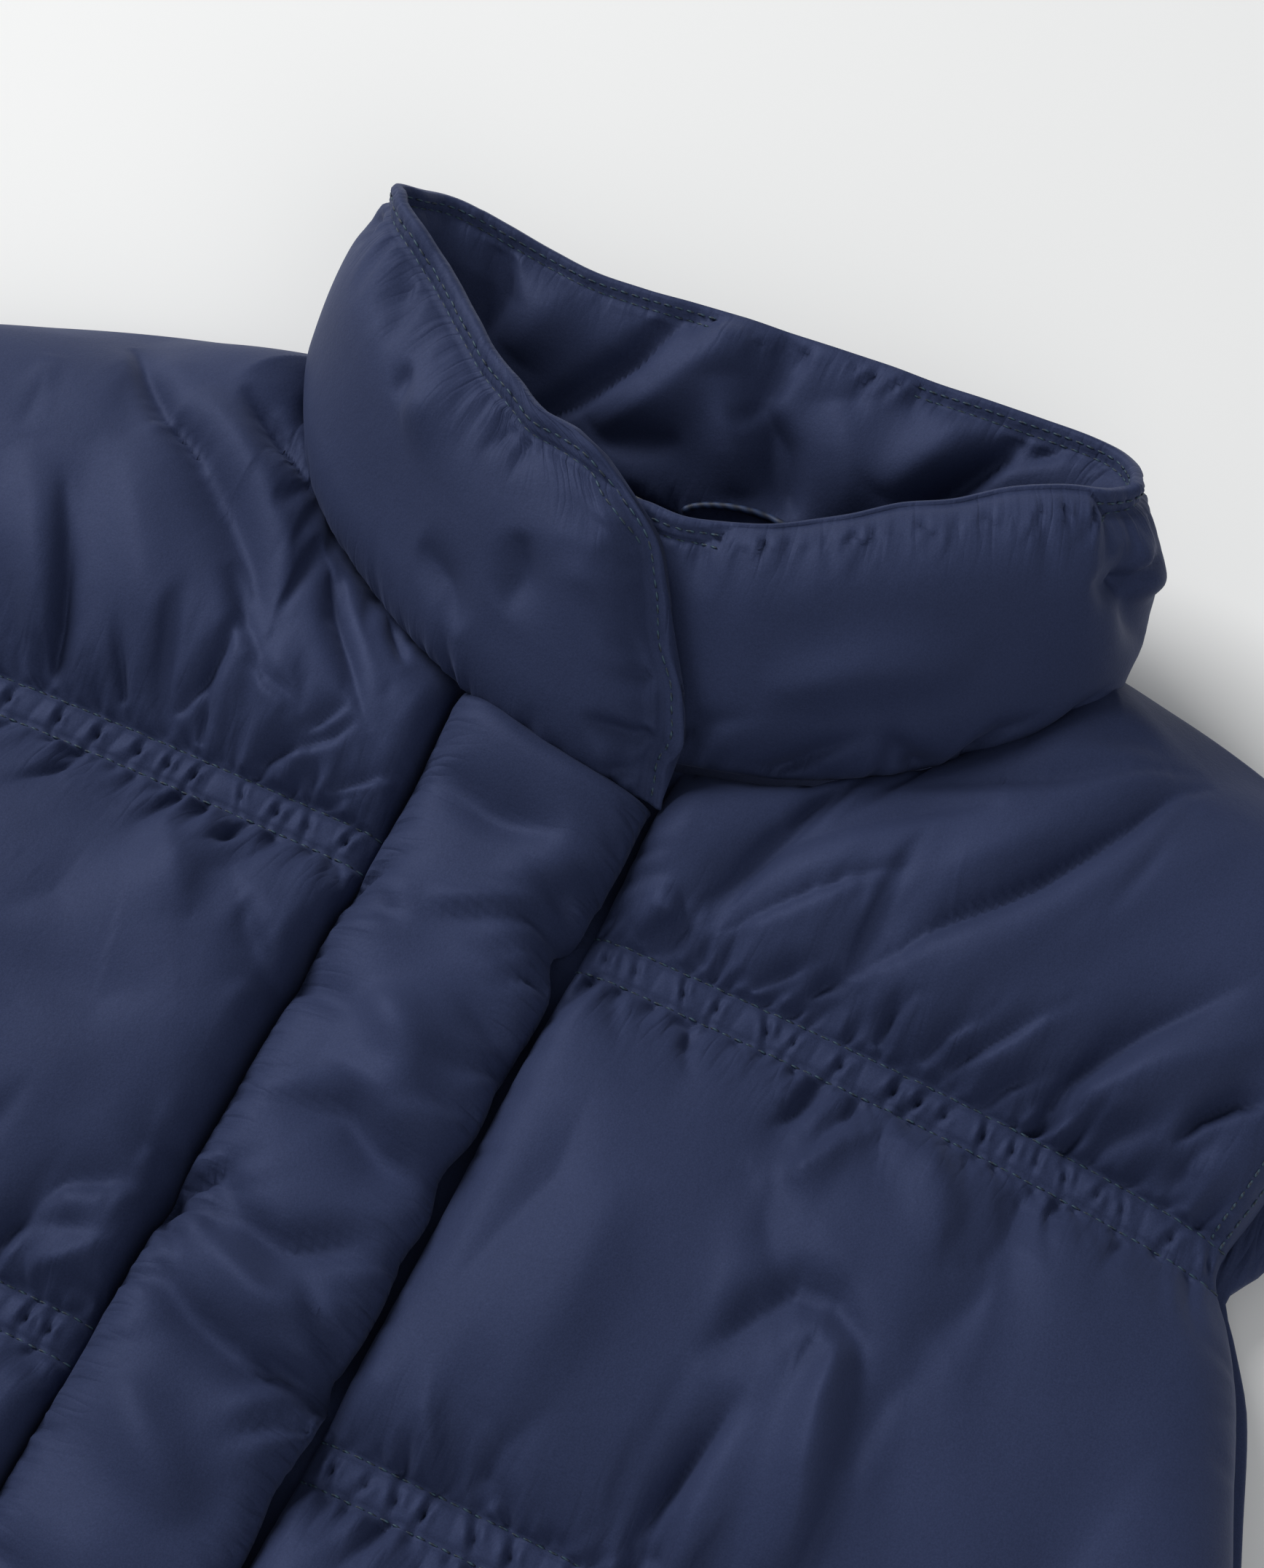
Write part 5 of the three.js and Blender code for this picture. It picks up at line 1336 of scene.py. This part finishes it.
def setRamp(ramp, stops):
    for element, (position, colour) in zip(ramp.color_ramp.elements, stops):
        element.position = position
        element.color = linear(colour)


# Satin-matt woven polyester. The fine weave gives the sandy grain, the slow noise the small
# differences of dye and wear, and the sheen the pale bloom on the upper side of each fold. The
# creases are the finest gathers beside a sewn line, too small for the mesh. Sizes are in mm.
shellLook = dict(
    grain=0.42, weave=0.9, cloud=60, crinkle=9, crease=(4.2, 22), colours=("222941", "303855"),
    colourStops=(0.3, 0.72), grainShare=0.55, roughness=(0.58, 0.74), creaseSharp=9.0,
)


def shellCloth():
    look = shellLook
    material = newMaterial("navy_polyester_shell")
    where = addNode(material, "ShaderNodeTexCoord")
    noise = {}
    for name, detail, roughness in (
            ("grain", 2.0, 0.6), ("weave", 3.0, 0.7), ("cloud", 4.0, 0.55), ("crinkle", 3.0, 0.5)):
        noise[name] = addNode(
            material, "ShaderNodeTexNoise", Scale=1000 / look[name], Detail=detail, Roughness=roughness)
        joinAll(material, [(where, "Object", noise[name], "Vector")])
    ramp = addNode(material, "ShaderNodeValToRGB")
    setRamp(ramp, zip(look["colourStops"], look["colours"]))
    blend = addNode(material, "ShaderNodeMix", data_type="FLOAT", Factor=look["grainShare"])
    rough = addNode(material, "ShaderNodeMapRange")
    rough.inputs["To Min"].default_value, rough.inputs["To Max"].default_value = look["roughness"]
    bumpWeave = addNode(material, "ShaderNodeBump", Strength=0.5, Distance=0.00016)
    bumpGather = addNode(material, "ShaderNodeBump", Strength=0.8, Distance=0.0007)
    bumpCrinkle = addNode(material, "ShaderNodeBump", Strength=0.5, Distance=0.0004)
    clothMap = addNode(material, "ShaderNodeUVMap", uv_map="cloth")
    stretch = addNode(material, "ShaderNodeVectorMath", operation="MULTIPLY")
    stretch.inputs[1].default_value = (1000 / look["crease"][0], 1000 / look["crease"][1], 1.0)
    creases = addNode(material, "ShaderNodeTexNoise", Scale=1.0, Detail=1.5, Roughness=0.5)
    offMiddle = mathNode(material, "SUBTRACT", 0.5)
    fold = mathNode(material, "ABSOLUTE")
    narrow = mathNode(material, "MULTIPLY", look["creaseSharp"])
    flatTop = mathNode(material, "MINIMUM", 1.0)
    gatherBy = mathNode(material, "MULTIPLY")
    share = addNode(material, "ShaderNodeAttribute", attribute_name="gather")
    shader = addNode(material, "ShaderNodeBsdfPrincipled", **{
        "Specular IOR Level": 0.32, "Specular Tint": linear("b4c4ff"), "Sheen Weight": 0.12,
        "Sheen Roughness": 0.45, "Sheen Tint": linear("8f9cc8"),
    })
    out = addNode(material, "ShaderNodeOutputMaterial")
    joinAll(material, [
        (noise["cloud"], "Fac", blend, "A"), (noise["grain"], "Fac", blend, "B"),
        (blend, "Result", ramp, "Fac"), (noise["weave"], "Fac", rough, "Value"),
        (clothMap, "UV", stretch, 0), (stretch, "Vector", creases, "Vector"),
        (creases, "Fac", offMiddle, 0), (offMiddle, "Value", fold, 0), (fold, "Value", narrow, 0),
        (narrow, "Value", flatTop, 0), (flatTop, "Value", gatherBy, 0), (share, "Fac", gatherBy, 1),
        (gatherBy, "Value", bumpGather, "Height"), (noise["crinkle"], "Fac", bumpCrinkle, "Height"),
        (noise["weave"], "Fac", bumpWeave, "Height"), (bumpCrinkle, "Normal", bumpGather, "Normal"),
        (bumpGather, "Normal", bumpWeave, "Normal"), (ramp, "Color", shader, "Base Color"),
        (rough, "Result", shader, "Roughness"), (bumpWeave, "Normal", shader, "Normal"),
        (shader, "BSDF", out, "Surface"),
    ])
    return material


# Twisted polyester yarn. Its diagonal bands read as the lay of the strands.
def yarn(name, dark, light, bandMm, roughness=0.6):
    material = newMaterial(name)
    where = addNode(material, "ShaderNodeTexCoord")
    bands = addNode(
        material, "ShaderNodeTexWave", Scale=1000 / bandMm / 6.2832, Distortion=1.5,
        bands_direction="DIAGONAL")
    ramp = addNode(material, "ShaderNodeValToRGB")
    setRamp(ramp, ((0, dark), (1, light)))
    bump = addNode(material, "ShaderNodeBump", Strength=0.5, Distance=0.0001)
    shader = addNode(material, "ShaderNodeBsdfPrincipled", Roughness=roughness)
    out = addNode(material, "ShaderNodeOutputMaterial")
    joinAll(material, [
        (where, "Object", bands, "Vector"), (bands, "Fac", ramp, "Fac"), (bands, "Fac", bump, "Height"),
        (ramp, "Color", shader, "Base Color"), (bump, "Normal", shader, "Normal"),
        (shader, "BSDF", out, "Surface"),
    ])
    return material


shell = shellCloth()
thread = yarn("teal_navy_thread", "111d2f", "2b4556", 0.5)
cord = yarn("navy_hanger_cord", "141d33", "26385c", 1.1)
stitches = stitchGroup()


def stitchPiece(name, paths):
    points, edges = [], []
    for path in paths:
        start = len(points)
        points += [list(p) for p in path]
        edges += [(k, k + 1) for k in range(start, len(points) - 1)]
    mesh = bpy.data.meshes.new(name + "_paths")
    mesh.from_pydata(toFrame(points).tolist(), edges, [])
    source = bpy.data.objects.new(name + "_paths", mesh)
    bpy.context.scene.collection.objects.link(source)
    modifier = source.modifiers.new("stitches", "NODES")
    modifier.node_group = stitches
    for item in stitches.interface.items_tree:
        if item.in_out == "INPUT" and item.name == "Thread":
            modifier[item.identifier] = thread
    bpy.context.view_layer.update()
    evaluated = source.evaluated_get(bpy.context.evaluated_depsgraph_get())
    plain = bpy.data.meshes.new_from_object(evaluated)
    plain.name = name
    piece = bpy.data.objects.new(name, plain)
    bpy.context.scene.collection.objects.link(piece)
    bpy.data.objects.remove(source, do_unlink=True)
    return piece


# Threads lie this many mm above the cloth.
threadLift = 0.14


def raised(path):
    path = np.array(path, float)
    path[:, 2] += threadLift
    return path


# Rows of the fronts' grids and columns from the side, by their number.
frontStitches = dict(side=-2, armhole=(-4, -9), armholeTop=2, hem=-3)

say("stitches")
stitchPieces = {}
for frontName, (piece, surface, rowPart) in fronts.items():
    along = slice(frontCuts[frontName]["stitchFrom"], frontStitches["side"])
    paths = [raised(surface[row, along]) for row in sewnRowsOf(rowPart)]
    yokeRows = np.flatnonzero(rowPart == 0)
    fromRow, toRow = yokeRows[frontStitches["armholeTop"]], yokeRows[-1]
    paths += [raised(surface[fromRow:toRow, column]) for column in frontStitches["armhole"]]
    paths.append(raised(surface[np.flatnonzero(rowPart == 6)[frontStitches["hem"]], along]))
    stitchPieces[frontName] = stitchPiece(frontName + "_stitches", paths)

# Each row of the collar's stitching runs along the edge, turns a round corner and goes down the
# lapping end.
collarStitches = dict(start=0.012, corner=9.0, foot=3, along=560, turn=24, down=60, hideIn=4, least=3)


def stitchRoute(fromEdge):
    plan = collarStitches
    level, corner = collarPlan["height"] - fromEdge, plan["corner"]
    startRun = (collarRows["at"][0] + plan["start"]) * collarRound
    endRun = collarRows["at"][-1] * collarRound - fromEdge
    turn = np.linspace(0, math.pi / 2, plan["turn"])
    run = np.concatenate([
        np.linspace(startRun, endRun - corner, plan["along"]),
        endRun - corner + corner * np.sin(turn), np.full(plan["down"], endRun),
    ])
    rise = np.concatenate([
        np.full(plan["along"], level), level - corner + corner * np.cos(turn),
        np.linspace(level - corner, plan["foot"], plan["down"]),
    ])
    return run, rise


collarPaths = []
for fromEdge in collarPlan["stitch"]:
    run, rise = stitchRoute(fromEdge)
    at, up = run / collarRound, rise / collarPlan["height"]
    for face in (1, -1):
        path = collarPoint(at, up, face)
        away = path - collarPoint(at, up, -face)
        path = path + away / np.linalg.norm(away, axis=1, keepdims=True) * threadLift
        hideFrom, hideTo = hidden[face]
        shown = (run < hideFrom + collarStitches["hideIn"]) | (run > hideTo - collarStitches["hideIn"])
        changes = np.flatnonzero(np.diff(shown.astype(int))) + 1
        for stretch in np.split(np.arange(len(run)), changes):
            if shown[stretch[0]] and len(stretch) > collarStitches["least"]:
                collarPaths.append(path[stretch])
stitchPieces["collar"] = stitchPiece("collar_stitches", collarPaths)


# The camera stands where the photograph's does.
cameraPlan = dict(
    azimuth=26.0, elevation=62.0, lens=70.0, sensor=36.0, distance=737.0, target=(17.6, -0.5, 20.0),
)
# The key light stands behind the collar on the wearer's right, as the photo's soft shadows show.
lights = dict(
    key=dict(side=-1.6, ahead=1.8, height=1.95, size=1.7, power=86),
    fill=dict(side=0.5, ahead=-1.9, height=1.6, size=1.8, power=15),
)
studio = dict(sky="eef1f4", strength=0.34, floor="f0f0ef", floorSize=6.0, floorDrop=0.0004)


def makeCamera():
    phi, e = math.radians(cameraPlan["azimuth"]), math.radians(cameraPlan["elevation"])
    right = Vector((math.cos(phi), math.sin(phi), 0))
    ahead = Vector((-math.sin(phi), math.cos(phi), 0))
    up = math.sin(e) * ahead + Vector((0, 0, math.cos(e)))
    view = math.cos(e) * ahead - Vector((0, 0, math.sin(e)))
    target = Vector(toFrame(cameraPlan["target"]))
    data = bpy.data.cameras.new("camera")
    data.lens = cameraPlan["lens"]
    data.sensor_width = cameraPlan["sensor"]
    camera = bpy.data.objects.new("camera", data)
    turn = Matrix((right, up, -view)).transposed().to_4x4()
    turn.translation = target - view * cameraPlan["distance"] / 1000
    camera.matrix_world = turn
    bpy.context.scene.collection.objects.link(camera)
    bpy.context.scene.camera = camera
    return target, right, ahead


def makeLights(target, right, ahead):
    for name, plan in lights.items():
        lamp = bpy.data.lights.new(name, "AREA")
        lamp.shape = "SQUARE"
        lamp.size = plan["size"]
        lamp.energy = plan["power"]
        light = bpy.data.objects.new(name, lamp)
        beside = right * plan["side"] + ahead * plan["ahead"]
        light.location = target + beside + Vector((0, 0, plan["height"]))
        light.rotation_euler = (target - light.location).to_track_quat("-Z", "Y").to_euler()
        bpy.context.scene.collection.objects.link(light)
    world = bpy.data.worlds.new("studio")
    world.use_nodes = True
    sky = world.node_tree.nodes["Background"].inputs
    sky["Color"].default_value = linear(studio["sky"])
    sky["Strength"].default_value = studio["strength"]
    bpy.context.scene.world = world


def makeFloor():
    floorMesh = bpy.data.meshes.new("floor")
    size = studio["floorSize"]
    corners = [(-size, -size, 0), (size, -size, 0), (size, size, 0), (-size, size, 0)]
    floorMesh.from_pydata(corners, [], [(0, 1, 2, 3)])
    floor = bpy.data.objects.new("floor", floorMesh)
    floor.location.z = -studio["floorDrop"]
    paper = newMaterial("pale_paper")
    shader = addNode(paper, "ShaderNodeBsdfPrincipled", Roughness=0.8)
    shader.inputs["Base Color"].default_value = linear(studio["floor"])
    out = addNode(paper, "ShaderNodeOutputMaterial")
    paper.node_tree.links.new(shader.outputs["BSDF"], out.inputs["Surface"])
    floorMesh.materials.append(paper)
    bpy.context.scene.collection.objects.link(floor)


say("stage")
makeLights(*makeCamera())
makeFloor()
bpy.context.scene.view_settings.view_transform = "Standard"

shellPieces = {
    "back": backPiece, "front_left": fronts["front_left"][0], "front_right": fronts["front_right"][0],
    "placket": placketPiece, "collar": collarPiece,
}
for node, piece in shellPieces.items():
    piece.data.materials.append(shell)
    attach(piece, "root")
    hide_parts(node)
loopPiece.data.materials.append(cord)
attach(loopPiece, "root")
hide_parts("hanger_loop")
for piece in stitchPieces.values():
    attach(piece, "root")
